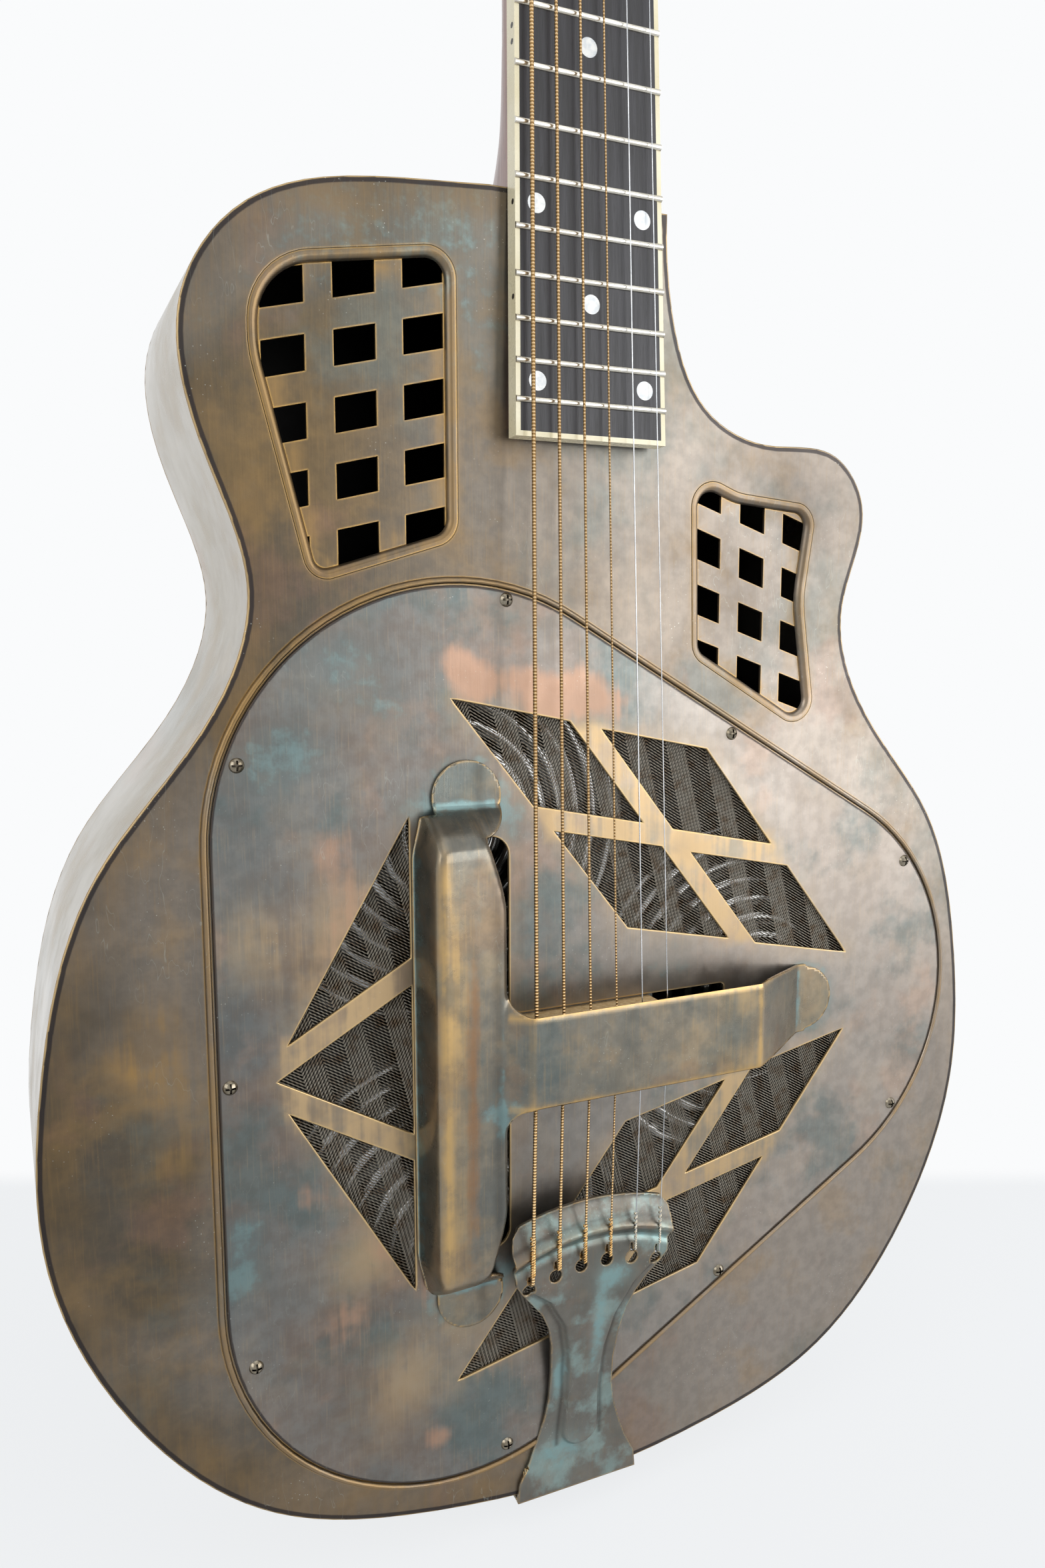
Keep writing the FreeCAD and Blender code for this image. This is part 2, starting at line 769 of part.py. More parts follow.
def convex_corners(points):
    """The corners of the smallest convex polygon round some flat points."""
    ordered = sorted(set(points))

    def chain(sequence):
        line = []
        for point in sequence:
            while len(line) > 1 and turn(line[-2], line[-1], point) <= 0:
                line.pop()
            line.append(point)
        return line[:-1]

    return chain(ordered) + chain(reversed(ordered))


def turn(first, second, third):
    """Positive where three points turn left."""
    return (second[0] - first[0]) * (third[1] - first[1]) - (second[1] - first[1]) * (third[0] - first[0])


feature("coverplate", coverplate())
feature("mesh_bass", mesh_panel(bass_windows()))
feature("mesh_upper", mesh_panel(lattice_windows(1)))
feature("mesh_lower", mesh_panel(lattice_windows(-1)))


def pan_screw(centre):
    """A cross-slotted pan-head screw driven into the face at a point."""
    radius = size("screw_head_radius")
    height = size("screw_head_height")
    ball = (radius * radius + height * height) / (2 * height)
    head = Part.makeSphere(ball, centre + Vector(0, ball - height, 0))
    keep_block = disc(centre - Vector(0, height, 0), radius, height, Vector(0, 1, 0))
    head = head.common(keep_block)
    shank = disc(centre, size("screw_shank_radius"), size("screw_shank_length"), Vector(0, 1, 0))
    slot = Part.makeBox(0.7, 1.1, 3.4, centre + Vector(-0.35, -height - 0.1, -1.7))
    cross = Part.makeBox(3.4, 1.1, 0.7, centre + Vector(-1.7, -height - 0.1, -0.35))
    return head.fuse(shank).cut([slot, cross])


screws = [pan_screw(cover_point(x, z, size("cover_sheet"))) for x, z in COVER_SCREWS]
feature("cover_screws", Part.makeCompound(screws))

# ---------------------------------------------------------------- handrest

REST_LOW = size("string_height_saddle") + 2 * STRING_RADII[0] + size("rest_string_gap")
REST_HIGH = REST_LOW + size("rest_sheet")
REST_OUTER_X = -65.0
REST_INNER_X = -36.0
REST_BEND_X = 66.6
REST_FOOT_X = 102.7
REST_BAR_FOOT = (-44.7, 91.9)
REST_RAMP = 15.0
REST_LIP = 9.0
REST_MOUTH_HALF = 70.0


def sheet_strip(path, thickness, low, high, across):
    """A bent strip: path is (position, height) pairs, thickened upwards, spanning low to high sideways.

    across is True where the path runs over X and the strip spans Z."""
    if across:
        top = [face_point(position, height, low) for position, height in path]
        span = Vector(0, 0, high - low)
    else:
        top = [face_point(low, height, position) for position, height in path]
        span = Vector(high - low, 0, 0)
    bottom = [point + Vector(0, thickness, 0) for point in top]
    return Part.Face(polygon(top + bottom[::-1])).extrude(span)


def handrest():
    """Pressed T over the strings: an arched bar, a flat strap across and three round feet."""
    thickness = size("rest_sheet")
    base = size("cover_sheet") + thickness
    half = size("rest_half_width")
    bar_path = [
        (REST_OUTER_X, base),
        (REST_OUTER_X + 0.8, 0.75 * REST_HIGH),
        (REST_OUTER_X + 4.0, 0.95 * REST_HIGH),
        (REST_OUTER_X + 9.0, REST_HIGH),
        (REST_INNER_X - 8.0, 0.9 * REST_HIGH),
        (REST_INNER_X - 1.5, 0.72 * REST_HIGH),
        (REST_INNER_X, 0.55 * REST_HIGH),
    ]
    foot_x, foot_z = REST_BAR_FOOT
    outer = [face_point(x, z, AXIS_Z) for x, z in bar_path]
    outer += [face_point(REST_INNER_X, 0, AXIS_Z), face_point(REST_OUTER_X, 0, AXIS_Z)]
    inner = [
        face_point(
            min(max(x, REST_OUTER_X + thickness), REST_INNER_X - thickness), max(z - thickness, 0), AXIS_Z
        )
        for x, z in bar_path
    ]
    inner[0] = face_point(REST_OUTER_X + thickness, -1, AXIS_Z)
    inner.append(face_point(REST_INNER_X - thickness, -1, AXIS_Z))
    shell = Part.Face(polygon(outer)).extrude(Vector(0, 0, 2 * foot_z))
    hollow = Part.Face(polygon(inner)).extrude(Vector(0, 0, 2 * foot_z))
    shell.translate(Vector(0, 0, -foot_z))
    hollow.translate(Vector(0, 0, -foot_z))
    side = sheet_profile_along_bar(0)
    side_inner = sheet_profile_along_bar(thickness)
    bar = shell.common(side).cut(hollow.common(side_inner))
    mouth = depth_box(
        REST_INNER_X - 2 * thickness,
        REST_INNER_X + 5,
        0,
        REST_LOW - REST_LIP,
        AXIS_Z - REST_MOUTH_HALF,
        AXIS_Z + REST_MOUTH_HALF,
    )
    bar = bar.cut(mouth)
    strap_path = [
        (REST_OUTER_X + 10.0, REST_HIGH),
        (REST_BEND_X, REST_HIGH),
        (REST_FOOT_X - 5.0, base),
        (REST_FOOT_X, base),
    ]
    strap = sheet_strip(strap_path, thickness, AXIS_Z - half, AXIS_Z + half, True)
    feet = [
        disc(face_point(foot_x, base, AXIS_Z + foot_z), size("rest_foot_radius"), thickness, Vector(0, 1, 0)),
        disc(face_point(foot_x, base, AXIS_Z - foot_z), size("rest_foot_radius"), thickness, Vector(0, 1, 0)),
        disc(face_point(REST_FOOT_X, base, AXIS_Z), size("rest_foot_radius"), thickness, Vector(0, 1, 0)),
    ]
    clear = depth_box(-200, 200, -10, size("cover_sheet"), AXIS_Z - 300, AXIS_Z + 300)
    strings = depth_box(-31, 31, size("cover_sheet"), REST_LOW, AXIS_Z - 60, AXIS_Z + 60)
    return bar.fuse([strap] + feet).cut([clear, strings])


def sheet_profile_along_bar(inset):
    """Side view of the bar: flat in the middle and ramped down to its two feet, lowered by inset."""
    foot_z = REST_BAR_FOOT[1]
    base = size("cover_sheet") + size("rest_sheet") - inset
    flat_half = foot_z - REST_RAMP
    points = [
        (-foot_z + inset, base),
        (-flat_half, REST_HIGH - inset),
        (flat_half, REST_HIGH - inset),
        (foot_z - inset, base),
        (foot_z - inset, -1.0),
        (-foot_z + inset, -1.0),
    ]
    wire = polygon([face_point(REST_OUTER_X - 1, height, AXIS_Z + z) for z, height in points])
    return Part.Face(wire).extrude(Vector(REST_INNER_X - REST_OUTER_X + 2, 0, 0))


feature("handrest", handrest())

# ---------------------------------------------------------------- tailpiece

CREST_Z = SADDLE_Z - size("tail_crest_behind")
TAIL_LIP_Z = CREST_Z + 11.0
KEYHOLE_Z = CREST_Z - 13.0
KEYHOLE_ARC = 5.0
KEYHOLE_SLOT = 1.9
# Surface height over the face against the distance up from the tail, as shares of the crest's height and place.
TAIL_CURVE = ((0.06, 0.16), (0.25, 0.30), (0.46, 0.47), (0.66, 0.74), (0.80, 0.91), (0.93, 0.90))
# Half width against the same distance.
TAIL_WIDTHS = (
    (0.05, 25.0),
    (0.21, 17.5),
    (0.36, 13.6),
    (0.46, 13.4),
    (0.58, 14.5),
    (0.70, 18.5),
    (0.80, 27.0),
)


def tail_surface():
    """Top line of the tailpiece from the tail edge to its front lip, as (height up the body, height)."""
    crest = size("tail_crest_height")
    points = [(share * CREST_Z, lift * crest) for share, lift in TAIL_CURVE]
    return [(0.0, size("tail_sheet"))] + points + [(CREST_Z, crest), (TAIL_LIP_Z, 0.8 * crest)]


def tail_outline():
    """Front view of the tailpiece: wide at the tail, waisted, and an arched head."""
    widths = [(size("tail_foot_half_width"), -size("tail_sheet"))]
    widths += [(half, share * CREST_Z) for share, half in TAIL_WIDTHS]
    widths += [(32.5, 0.93 * CREST_Z), (33.5, CREST_Z), (30.5, CREST_Z + 6)]
    right = [face_point(x, 0, z) for x, z in widths]
    left = [face_point(-x, 0, z) for x, z in widths]
    arch = Part.Arc(right[-1], face_point(0, 0, TAIL_LIP_Z), left[-1]).toShape()
    foot = Part.LineSegment(left[0], right[0]).toShape()
    return Part.Wire([foot, curve_through(right), arch, curve_through(left[::-1])])


def keyhole(index):
    """Cutter for one keyhole: a round hole with a slot towards the saddle."""
    x = string_share(index) * size("string_span_saddle")
    z = KEYHOLE_Z - KEYHOLE_ARC * (2 * string_share(index)) ** 2
    hole = disc(face_point(x, 60, z), size("keyhole_radius"), 59, Vector(0, 1, 0))
    slot = depth_box(x - KEYHOLE_SLOT / 2, x + KEYHOLE_SLOT / 2, 1, 60, z, z + 5.5)
    return hole.fuse(slot)


def tailpiece():
    """Stamped plate bent over the tail, its flange held by the strap button."""
    thickness = size("tail_sheet")
    curve = tail_surface()
    reach = 40.0
    top = [face_point(-reach, height, z) for z, height in curve]
    bottom = [point + Vector(0, thickness, 0) for point in top]
    ends = [
        Part.LineSegment(bottom[0], top[0]).toShape(),
        Part.LineSegment(top[-1], bottom[-1]).toShape(),
    ]
    section = Part.Wire([ends[0], curve_through(top), ends[1], curve_through(bottom[::-1])])
    strip = Part.Face(section).extrude(Vector(2 * reach, 0, 0))
    outline = Part.Face(tail_outline())
    outline.translate(Vector(0, -50, 0))
    plate = strip.common(outline.extrude(Vector(0, 60, 0)))
    plate = plate.cut([keyhole(index) for index in range(STRING_COUNT)])
    half = size("tail_foot_half_width")
    flange = Part.makeBox(
        2 * half, size("tail_flange"), thickness, Vector(-half, FACE - thickness, -thickness)
    )
    flange = flange.cut(disc(Vector(0, 0, -5), 4.2, 10, Vector(0, 0, 1)))
    return plate.fuse(flange)


feature("tailpiece", tailpiece())

# ---------------------------------------------------------------- strap button

BUTTON_SHANK = 4.0


def strap_button():
    """Turned end pin through the tail flange into the end block."""
    out = Vector(0, 0, -1)
    start = Vector(0, 0, -size("tail_sheet"))
    collar = disc(start, size("strap_button_radius"), 2.0, out)
    waist = disc(start, 4.4, size("strap_button_length"), out)
    head = disc(start + out * (size("strap_button_length") - 3.0), size("strap_button_radius"), 3.0, out)
    pin = disc(Vector(0, 0, -size("tail_sheet")), BUTTON_SHANK, END_BLOCK_Z + 11.0, Vector(0, 0, 1))
    return collar.fuse([waist, head, pin])


feature("strap_button", strap_button())
BUTTON_BORE = disc(Vector(0, 0, -1), BUTTON_SHANK, END_BLOCK_Z + 12.0, Vector(0, 0, 1))

# ---------------------------------------------------------------- neck

SHAFT_RISE = size("wheel_radius") + size("tuner_gap") + size("worm_radius")
TUNER_SCREW_RADIUS = 1.0
TUNER_SCREW_LENGTH = 6.0


def tuner_screw_rows():
    """Where the two plate screws of a tuner stand, up from its post."""
    return (-9.5, SHAFT_RISE + 6.0)


def nut_block():
    """The nut before its notches, in the neck frame."""
    half = size("nut_width") / 2
    height = size("nut_height")
    corner = Vector(-half, -height, NUT_Z)
    return Part.makeBox(2 * half, size("board_thickness") + height, size("nut_thickness"), corner)


def neck_section(half_width, depth, along, squareness=2.3):
    """A closed half-round section under the board, in the neck frame."""
    top = size("board_thickness")
    points = []
    steps = 12
    for step in range(steps + 1):
        angle = math.pi * step / steps
        across = half_width * math.copysign(abs(math.cos(angle)) ** (2 / squareness), math.cos(angle))
        down = depth * abs(math.sin(angle)) ** (2 / squareness)
        points.append(Vector(across, top + down, along))
    return Part.Wire([curve_through(points), Part.LineSegment(points[-1], points[0]).toShape()])


def neck_shape():
    """Mahogany shaft with its heel cut to the body and the headstock, in the neck frame."""
    heel = size("heel_length")
    depth_nut = size("neck_depth_nut")
    depth_heel = size("neck_depth_heel")
    deep = size("heel_depth")
    nut_end = NUT_Z + size("nut_thickness")
    shaft = Part.makeLoft(
        [
            neck_section(board_half_width(nut_end), depth_nut, nut_end),
            neck_section(board_half_width(NUT_Z / 2), (depth_nut + depth_heel) / 2, NUT_Z / 2),
            neck_section(board_half_width(heel), depth_heel, heel),
        ],
        True,
    )
    heel_shape = Part.makeLoft(
        [
            neck_section(board_half_width(heel), depth_heel, heel),
            neck_section(board_half_width(heel * 0.7), depth_heel + 3.5, heel * 0.7, 2.2),
            neck_section(board_half_width(heel * 0.4), depth_heel + 14.0, heel * 0.4, 1.9),
            neck_section(board_half_width(heel * 0.15), deep * 0.78, heel * 0.15, 1.7),
            neck_section(board_half_width(0), deep * 0.97, -4.0, 1.7),
        ],
        True,
    )
    below = Part.makeBox(200, 200, 100, Vector(-100, -100, BODY_TOP - 100))
    below.Placement = NECK.inverse()
    shape = shaft.fuse(heel_shape).fuse(head_in_neck())
    bore_radius = size("truss_radius") + size("truss_clearance")
    centre = Vector(0, size("board_thickness") + size("truss_radius"), -2)
    bore = disc(centre, bore_radius, NUT_Z, Vector(0, 0, 1))
    channel = Part.makeBox(
        2 * bore_radius, size("truss_radius"), NUT_Z, Vector(-bore_radius, size("board_thickness"), -2)
    )
    return shape.cut([below, bore.fuse(channel), nut_block()])


def head_outline(height):
    """Front view of the headstock in its own frame."""
    half = size("head_half_width")
    tall = size("head_length")
    nut_half = size("nut_width") / 2
    right = [
        Vector(nut_half, height, -2),
        Vector(nut_half + 1.5, height, 8),
        Vector(half - 4, height, 20),
        Vector(half - 1.5, height, 31),
    ]
    shoulder = Vector(half, height, tall - 14)
    left = [Vector(-point.x, point.y, point.z) for point in right]
    crown = Part.Arc(shoulder, Vector(0, height, tall), Vector(-shoulder.x, height, shoulder.z)).toShape()
    edges = [
        Part.LineSegment(left[0], right[0]).toShape(),
        curve_through(right),
        Part.LineSegment(right[-1], shoulder).toShape(),
        crown,
        Part.LineSegment(Vector(-shoulder.x, height, shoulder.z), left[-1]).toShape(),
        curve_through(left[::-1]),
    ]
    return Part.Wire(edges)


def post_places():
    """Across and up for each tuner in the head frame, with its side, in string order from the bass."""
    first = size("post_first")
    pitch = size("post_pitch")
    bass = [(-POST_X, first + row * pitch, -1) for row in range(3)]
    treble = [(POST_X, first + row * pitch, 1) for row in reversed(range(3))]
    return bass + treble


def head_in_neck():
    """The headstock block with its post holes, in the neck frame."""
    block = Part.Face(head_outline(0)).extrude(Vector(0, size("head_thickness"), 0))
    for x, z, side in post_places():
        through = size("head_thickness") + 2
        block = block.cut(disc(Vector(x, -1, z), size("bushing_radius"), through, Vector(0, 1, 0)))
        for up in tuner_screw_rows():
            seat = Vector(x, HEAD_BACK, z + up)
            block = block.cut(disc(seat, TUNER_SCREW_RADIUS, TUNER_SCREW_LENGTH, Vector(0, -1, 0)))
    block.Placement = Placement(
        Vector(0, size("board_thickness"), NUT_Z + size("nut_thickness")),
        Rotation(Vector(1, 0, 0), -size("head_angle")),
    )
    return block


feature("neck", neck_shape(), NECK)

rod = doc.addObject("Part::Cylinder", "truss_rod")
rod.setExpression("Radius", "sizes.truss_radius")
rod.Height = NUT_Z - 4
rod.Placement = NECK.multiply(
    Placement(Vector(0, size("board_thickness") + size("truss_radius"), 0), Rotation())
)
keep("truss_rod", rod)

# ---------------------------------------------------------------- fingerboard


def board_prism(inset, front, back, low, high):
    """A tapered slab of the board, inset at its sides, between two depths and two heights."""
    corners = [
        Vector(-board_half_width(low) + inset, front, low),
        Vector(board_half_width(low) - inset, front, low),
        Vector(board_half_width(high) - inset, front, high),
        Vector(-board_half_width(high) + inset, front, high),
    ]
    return Part.Face(polygon(corners)).extrude(Vector(0, back - front, 0))


DOUBLE_MARKER_SHARE = 0.72
SINGLE_MARKERS = (3, 5, 9, 12, 17)
DOUBLE_MARKERS = (7, 15, 19)
SIDE_DOT_FRETS = (3, 5, 7, 9, 12, 15, 17)
OCTAVE_FRET = 12


def between_frets(number):
    """Height in the neck frame half way between a fret and the one before it."""
    return (fret_distance(number) + fret_distance(number - 1)) / 2 - BODY_FRET_DISTANCE


def marker_places():
    """Centres of the pearl dots on the playing face."""
    places = [(0.0, between_frets(number)) for number in SINGLE_MARKERS]
    for number in DOUBLE_MARKERS:
        along = between_frets(number)
        across = DOUBLE_MARKER_SHARE * board_half_width(along)
        places += [(-across, along), (across, along)]
    return places


def side_dot_places():
    """Heights and counts of the small dots on the bass edge of the binding."""
    return [(between_frets(number), 2 if number == OCTAVE_FRET else 1) for number in SIDE_DOT_FRETS]


def markers(grow):
    """The pearl dots, or with grow their sockets."""
    radius = size("marker_radius")
    depth = size("marker_thickness")
    return [disc(Vector(x, -grow, z), radius, depth + grow, Vector(0, 1, 0)) for x, z in marker_places()]


def side_dots(length):
    """Short pegs in the bass edge of the binding."""
    pegs = []
    for along, count in side_dot_places():
        for step in range(count):
            spread = (step - (count - 1) / 2) * 5.0
            edge = -board_half_width(along + spread) - 0.05
            start = Vector(edge, 1.9, along + spread)
            pegs.append(disc(start, size("side_dot_radius"), length, Vector(1, 0, 0)))
    return pegs


BOARD_DEPTH = size("board_thickness")
BINDING = size("binding_width")
core = board_prism(BINDING, 0, BOARD_DEPTH, BOARD_END_Z + BINDING, NUT_Z)
whole = board_prism(0, 0, BOARD_DEPTH, BOARD_END_Z, NUT_Z)
feature("fingerboard", core.cut(markers(1.0)), NECK)
feature("fingerboard_binding", whole.cut(core).cut(side_dots(1.2)), NECK)
feature("fret_markers", Part.makeCompound(markers(0.0)), NECK)
feature("side_dots", Part.makeCompound(side_dots(1.2)), NECK)


def fret_wire(number):
    """One crowned fret lying across the board."""
    along = fret_distance(number) - BODY_FRET_DISTANCE
    half = board_half_width(along)
    width = size("fret_width")
    height = size("fret_height")
    crown = (width * width / 4 + height * height) / (2 * height)
    rod_shape = disc(Vector(-half, crown - height, along), crown, 2 * half, Vector(1, 0, 0))
    window = Part.makeBox(2 * half, height, width, Vector(-half, -height, along - width / 2))
    return rod_shape.common(window)


frets = [fret_wire(number) for number in range(1, int(size("fret_count")) + 1)]
feature("frets", Part.makeCompound(frets), NECK)


def board_riser():
    """Thin mahogany wedge that carries the board's end over the top plate."""
    wedge = board_prism(1.5, BOARD_DEPTH, BOARD_DEPTH + 8, BOARD_END_Z + 4, 0)
    wedge.Placement = NECK
    behind = Part.makeBox(200, 100, 400, Vector(-100, FACE, BODY_TOP - 200))
    above = Part.makeBox(200, 200, 100, Vector(-100, -100, BODY_TOP))
    return wedge.cut([behind, above])


feature("board_riser", board_riser())


def nut():
    """Bone nut with six notches, in the neck frame."""
    block = nut_block()
    through = size("nut_thickness") + 2
    for index, radius in enumerate(STRING_RADII):
        x = string_share(index) * size("string_span_nut")
        bottom = -size("string_height_nut") + STRING_SEAT_GAP
        corner = Vector(x - radius - 0.1, bottom - 5, NUT_Z - 1)
        block = block.cut(Part.makeBox(2 * radius + 0.2, 5, through, corner))
    return block


feature("nut", nut(), NECK)

# ---------------------------------------------------------------- headstock dressing

VENEER = size("veneer_thickness")
veneer = Part.Face(head_outline(-VENEER)).extrude(Vector(0, VENEER, 0))
veneer_trim = Part.makeBox(200, 40, 40, Vector(-100, -20, -40))
veneer = veneer.cut(veneer_trim)
for x, z, side in post_places():
    veneer = veneer.cut(disc(Vector(x, -5, z), size("bushing_radius"), 10, Vector(0, 1, 0)))
feature("headstock_veneer", veneer, HEAD)


def truss_cover():
    """Bell-shaped cover over the rod's end, in the head frame."""
    points = [Vector(-9, -VENEER, 4), Vector(9, -VENEER, 4), Vector(4, -VENEER, 32), Vector(-4, -VENEER, 32)]
    plate = Part.Face(rounded(points, [2.0, 2.0, 3.0, 3.0])).extrude(Vector(0, -1.6, 0))
    return plate.cut([disc(Vector(0, -10, z), 0.9, 20, Vector(0, 1, 0)) for z in TRUSS_SCREWS])


TRUSS_SCREWS = (7.5, 28.0)
feature("truss_cover", truss_cover(), HEAD)
small_screws = []
for z in TRUSS_SCREWS:
    head = disc(Vector(0, -VENEER - 2.4, z), 1.9, 0.8, Vector(0, 1, 0))
    small_screws.append(head.fuse(disc(Vector(0, -VENEER - 1.6, z), 0.9, 1.6, Vector(0, 1, 0))))
feature("truss_cover_screws", Part.makeCompound(small_screws), HEAD)

# ---------------------------------------------------------------- tuners

POST = size("post_radius")
FIT = size("post_fit")
TIP = -VENEER - size("post_above_head")
PLATE = 1.0
SHAFT_Y = HEAD_BACK + PLATE + size("tuner_gap") + size("worm_radius")
WHEEL_FRONT = SHAFT_Y - size("wheel_thickness") / 2
EAR_INNER = 5.5
EAR_THICKNESS = 1.6
PLATE_HALF = EAR_INNER + EAR_THICKNESS
BUTTON_CLEARANCE = 3.0
WRAP_Y = -6.0
WRAP_TURNS = 3


def tuner_housing(x, z):
    """Plate under one gear with two ears that carry the worm shaft."""
    back = Vector(0, 1, 0)
    base = Part.makeBox(
        2 * PLATE_HALF, PLATE, SHAFT_RISE + 21, Vector(x - PLATE_HALF, HEAD_BACK, z - 12)
    )
    tall = SHAFT_Y + size("shaft_radius") + 1.6 - HEAD_BACK
    ears = []
    for side in (-1, 1):
        low = x + (EAR_INNER if side > 0 else -EAR_INNER - EAR_THICKNESS)
        ears.append(Part.makeBox(EAR_THICKNESS, tall, 7, Vector(low, HEAD_BACK, z + SHAFT_RISE - 3.5)))
    shape = base.fuse(ears)
    holes = [
        disc(Vector(x - 20, SHAFT_Y, z + SHAFT_RISE), size("shaft_radius") + FIT, 40, Vector(1, 0, 0)),
        disc(Vector(x, 0, z), POST + FIT, 60, back),
    ]
    holes += [disc(Vector(x, 0, z + up), TUNER_SCREW_RADIUS, 60, back) for up in tuner_screw_rows()]
    return shape.cut(holes)


def tuner_screw(x, z):
    """Round-head wood screw on the back of the head."""
    seat = Vector(x, HEAD_BACK + PLATE, z)
    head = disc(seat, 1.9, 1.0, Vector(0, 1, 0))
    return head.fuse(disc(seat, TUNER_SCREW_RADIUS, PLATE + TUNER_SCREW_LENGTH, Vector(0, -1, 0)))


def bushing(x, z):
    """Flanged sleeve that carries the post through the head."""
    back = Vector(0, 1, 0)
    sleeve = disc(Vector(x, -VENEER, z), size("bushing_radius"), HEAD_BACK + VENEER, back)
    collar = disc(Vector(x, -VENEER - 1.2, z), size("bushing_radius") + 1.6, 1.2, back)
    return sleeve.fuse(collar).cut(disc(Vector(x, -20, z), POST + FIT, 60, back))


def tuner_post(x, z, radius):
    """Capstan with its string turns in front and its gear wheel behind."""
    back = Vector(0, 1, 0)
    shaft = disc(Vector(x, TIP, z), POST, WHEEL_FRONT - TIP + size("wheel_thickness"), back)
    waist = disc(Vector(x, TIP + 3.0, z), POST + 3, 5.0, back)
    waist = waist.cut(disc(Vector(x, TIP + 3.0, z), POST - 0.5, 5.0, back))
    string_hole = disc(Vector(x - 5, TIP + 5.5, z), 0.8, 10, Vector(1, 0, 0))
    shaft = shaft.cut([waist, string_hole])
    wheel = disc(Vector(x, WHEEL_FRONT, z), size("wheel_radius"), size("wheel_thickness"), back)
    turns = []
    for turn_number in range(WRAP_TURNS):
        centre = Vector(x, WRAP_Y - turn_number * (2 * radius + 0.05), z)
        turns.append(Part.makeTorus(POST + radius - 0.02, radius, centre, back))
    return shaft.fuse([wheel] + turns)


def tuner_knob(x, z, side):
    """Worm, shaft and oval button that turn together."""
    along = Vector(side, 0, 0)
    height = z + SHAFT_RISE
    inner = Vector(x - side * (PLATE_HALF + 1.5), SHAFT_Y, height)
    edge = side * size("head_half_width")
    button_start = edge + side * BUTTON_CLEARANCE
    reach = abs(button_start - inner.x) + 2.0
    shaft = disc(inner, size("shaft_radius"), reach, along)
    worm_half = EAR_INNER - size("tuner_gap")
    worm = disc(Vector(x - side * worm_half, SHAFT_Y, height), size("worm_radius"), 2 * worm_half, along)
    grip = size("button_half_length")
    thickness = size("button_thickness")
    centre = Vector(button_start + side * grip, SHAFT_Y - thickness / 2, height)
    oval = Part.Ellipse(
        centre + Vector(0, 0, size("button_half_height")),
        centre + Vector(grip, 0, 0),
        centre,
    )
    button = Part.Face(Part.Wire([oval.toShape()])).extrude(Vector(0, thickness, 0))
    button = button.makeFillet(1.6, button.Edges)
    collar = disc(Vector(button_start - side * 1.6, SHAFT_Y, height), 2.6, 2.2, along)
    return shaft.fuse([worm, button, collar])


housings = []
bushings = []
plate_screws = []
for number, (x, z, side) in enumerate(post_places()):
    string_number = STRING_COUNT - number
    housings.append(tuner_housing(x, z))
    bushings.append(bushing(x, z))
    plate_screws += [tuner_screw(x, z + up) for up in tuner_screw_rows()]
    feature(f"tuner_post_{string_number}", tuner_post(x, z, STRING_RADII[number]), HEAD)
    feature(f"tuner_knob_{string_number}", tuner_knob(x, z, side), HEAD)
feature("tuner_housings", Part.makeCompound(housings), HEAD)
feature("tuner_bushings", Part.makeCompound(bushings), HEAD)
feature("tuner_screws", Part.makeCompound(plate_screws), HEAD)

# ---------------------------------------------------------------- strings

BALL_RADIUS = 2.0
WRAP_GAP = 0.15


def string_route(index):
    """Straight runs of one string: ball, keyhole, crest, saddle, nut and the side of its post."""
    radius = STRING_RADII[index]
    x = string_share(index) * size("string_span_saddle")
    crest = size("tail_crest_height") + radius + STRING_SEAT_GAP
    hole_z = KEYHOLE_Z - KEYHOLE_ARC * (2 * string_share(index)) ** 2 + 3.4
    x_nut = string_share(index) * size("string_span_nut")
    nut_exit = NUT_Z + size("nut_thickness") + 0.2
    at_nut = NECK.multVec(Vector(x_nut, -size("string_height_nut") - radius, nut_exit))
    post_x, post_z, side = post_places()[index]
    wrap_radius = POST + 3 * radius + WRAP_GAP
    inner_x = post_x - side * wrap_radius
    at_post = HEAD.multVec(Vector(inner_x, WRAP_Y, post_z - 1.0))
    return [
        face_point(x, size("tail_crest_height") - 5.5, hole_z - 0.6),
        face_point(x, size("tail_crest_height") + radius - 0.3, hole_z + 0.4),
        face_point(x, crest, CREST_Z),
        face_point(x, size("string_height_saddle") + radius, SADDLE_Z),
        at_nut,
        at_post,
    ]


def wire_along(points, radius, bends):
    """A round wire on straight runs joined by tangent arcs."""
    edges = []
    start = points[0]
    for here in range(1, len(points) - 1):
        before = points[here - 1] - points[here]
        after = points[here + 1] - points[here]
        run = min(before.Length, after.Length)
        before.normalize()
        after.normalize()
        half_turn = (math.pi - before.getAngle(after)) / 2
        setback = min(bends[here - 1] * math.tan(half_turn), 0.45 * run)
        bend = setback / math.tan(half_turn)
        first = points[here] + before * setback
        last = points[here] + after * setback
        inward = before + after
        inward.normalize()
        middle = points[here] + inward * (bend / math.cos(half_turn) - bend)
        edges.append(Part.LineSegment(start, first).toShape())
        edges.append(Part.Arc(first, middle, last).toShape())
        start = last
    edges.append(Part.LineSegment(start, points[-1]).toShape())
    path = Part.Wire(edges)
    direction = points[1] - points[0]
    ring = Part.Wire([Part.makeCircle(radius, points[0], direction)])
    return path.makePipeShell([ring], True, True)


STRING_BENDS = (2.0, 6.0, 6.0, 3.0)
for index, radius in enumerate(STRING_RADII):
    route = string_route(index)
    wire = wire_along(route, radius, STRING_BENDS)
    ball = disc(route[0] + Vector(-1.75, 0, 0), BALL_RADIUS, 3.5, Vector(1, 0, 0))
    feature(f"string_{STRING_COUNT - index}", wire.fuse(ball))

# ---------------------------------------------------------------- pieces drilled for what passes through

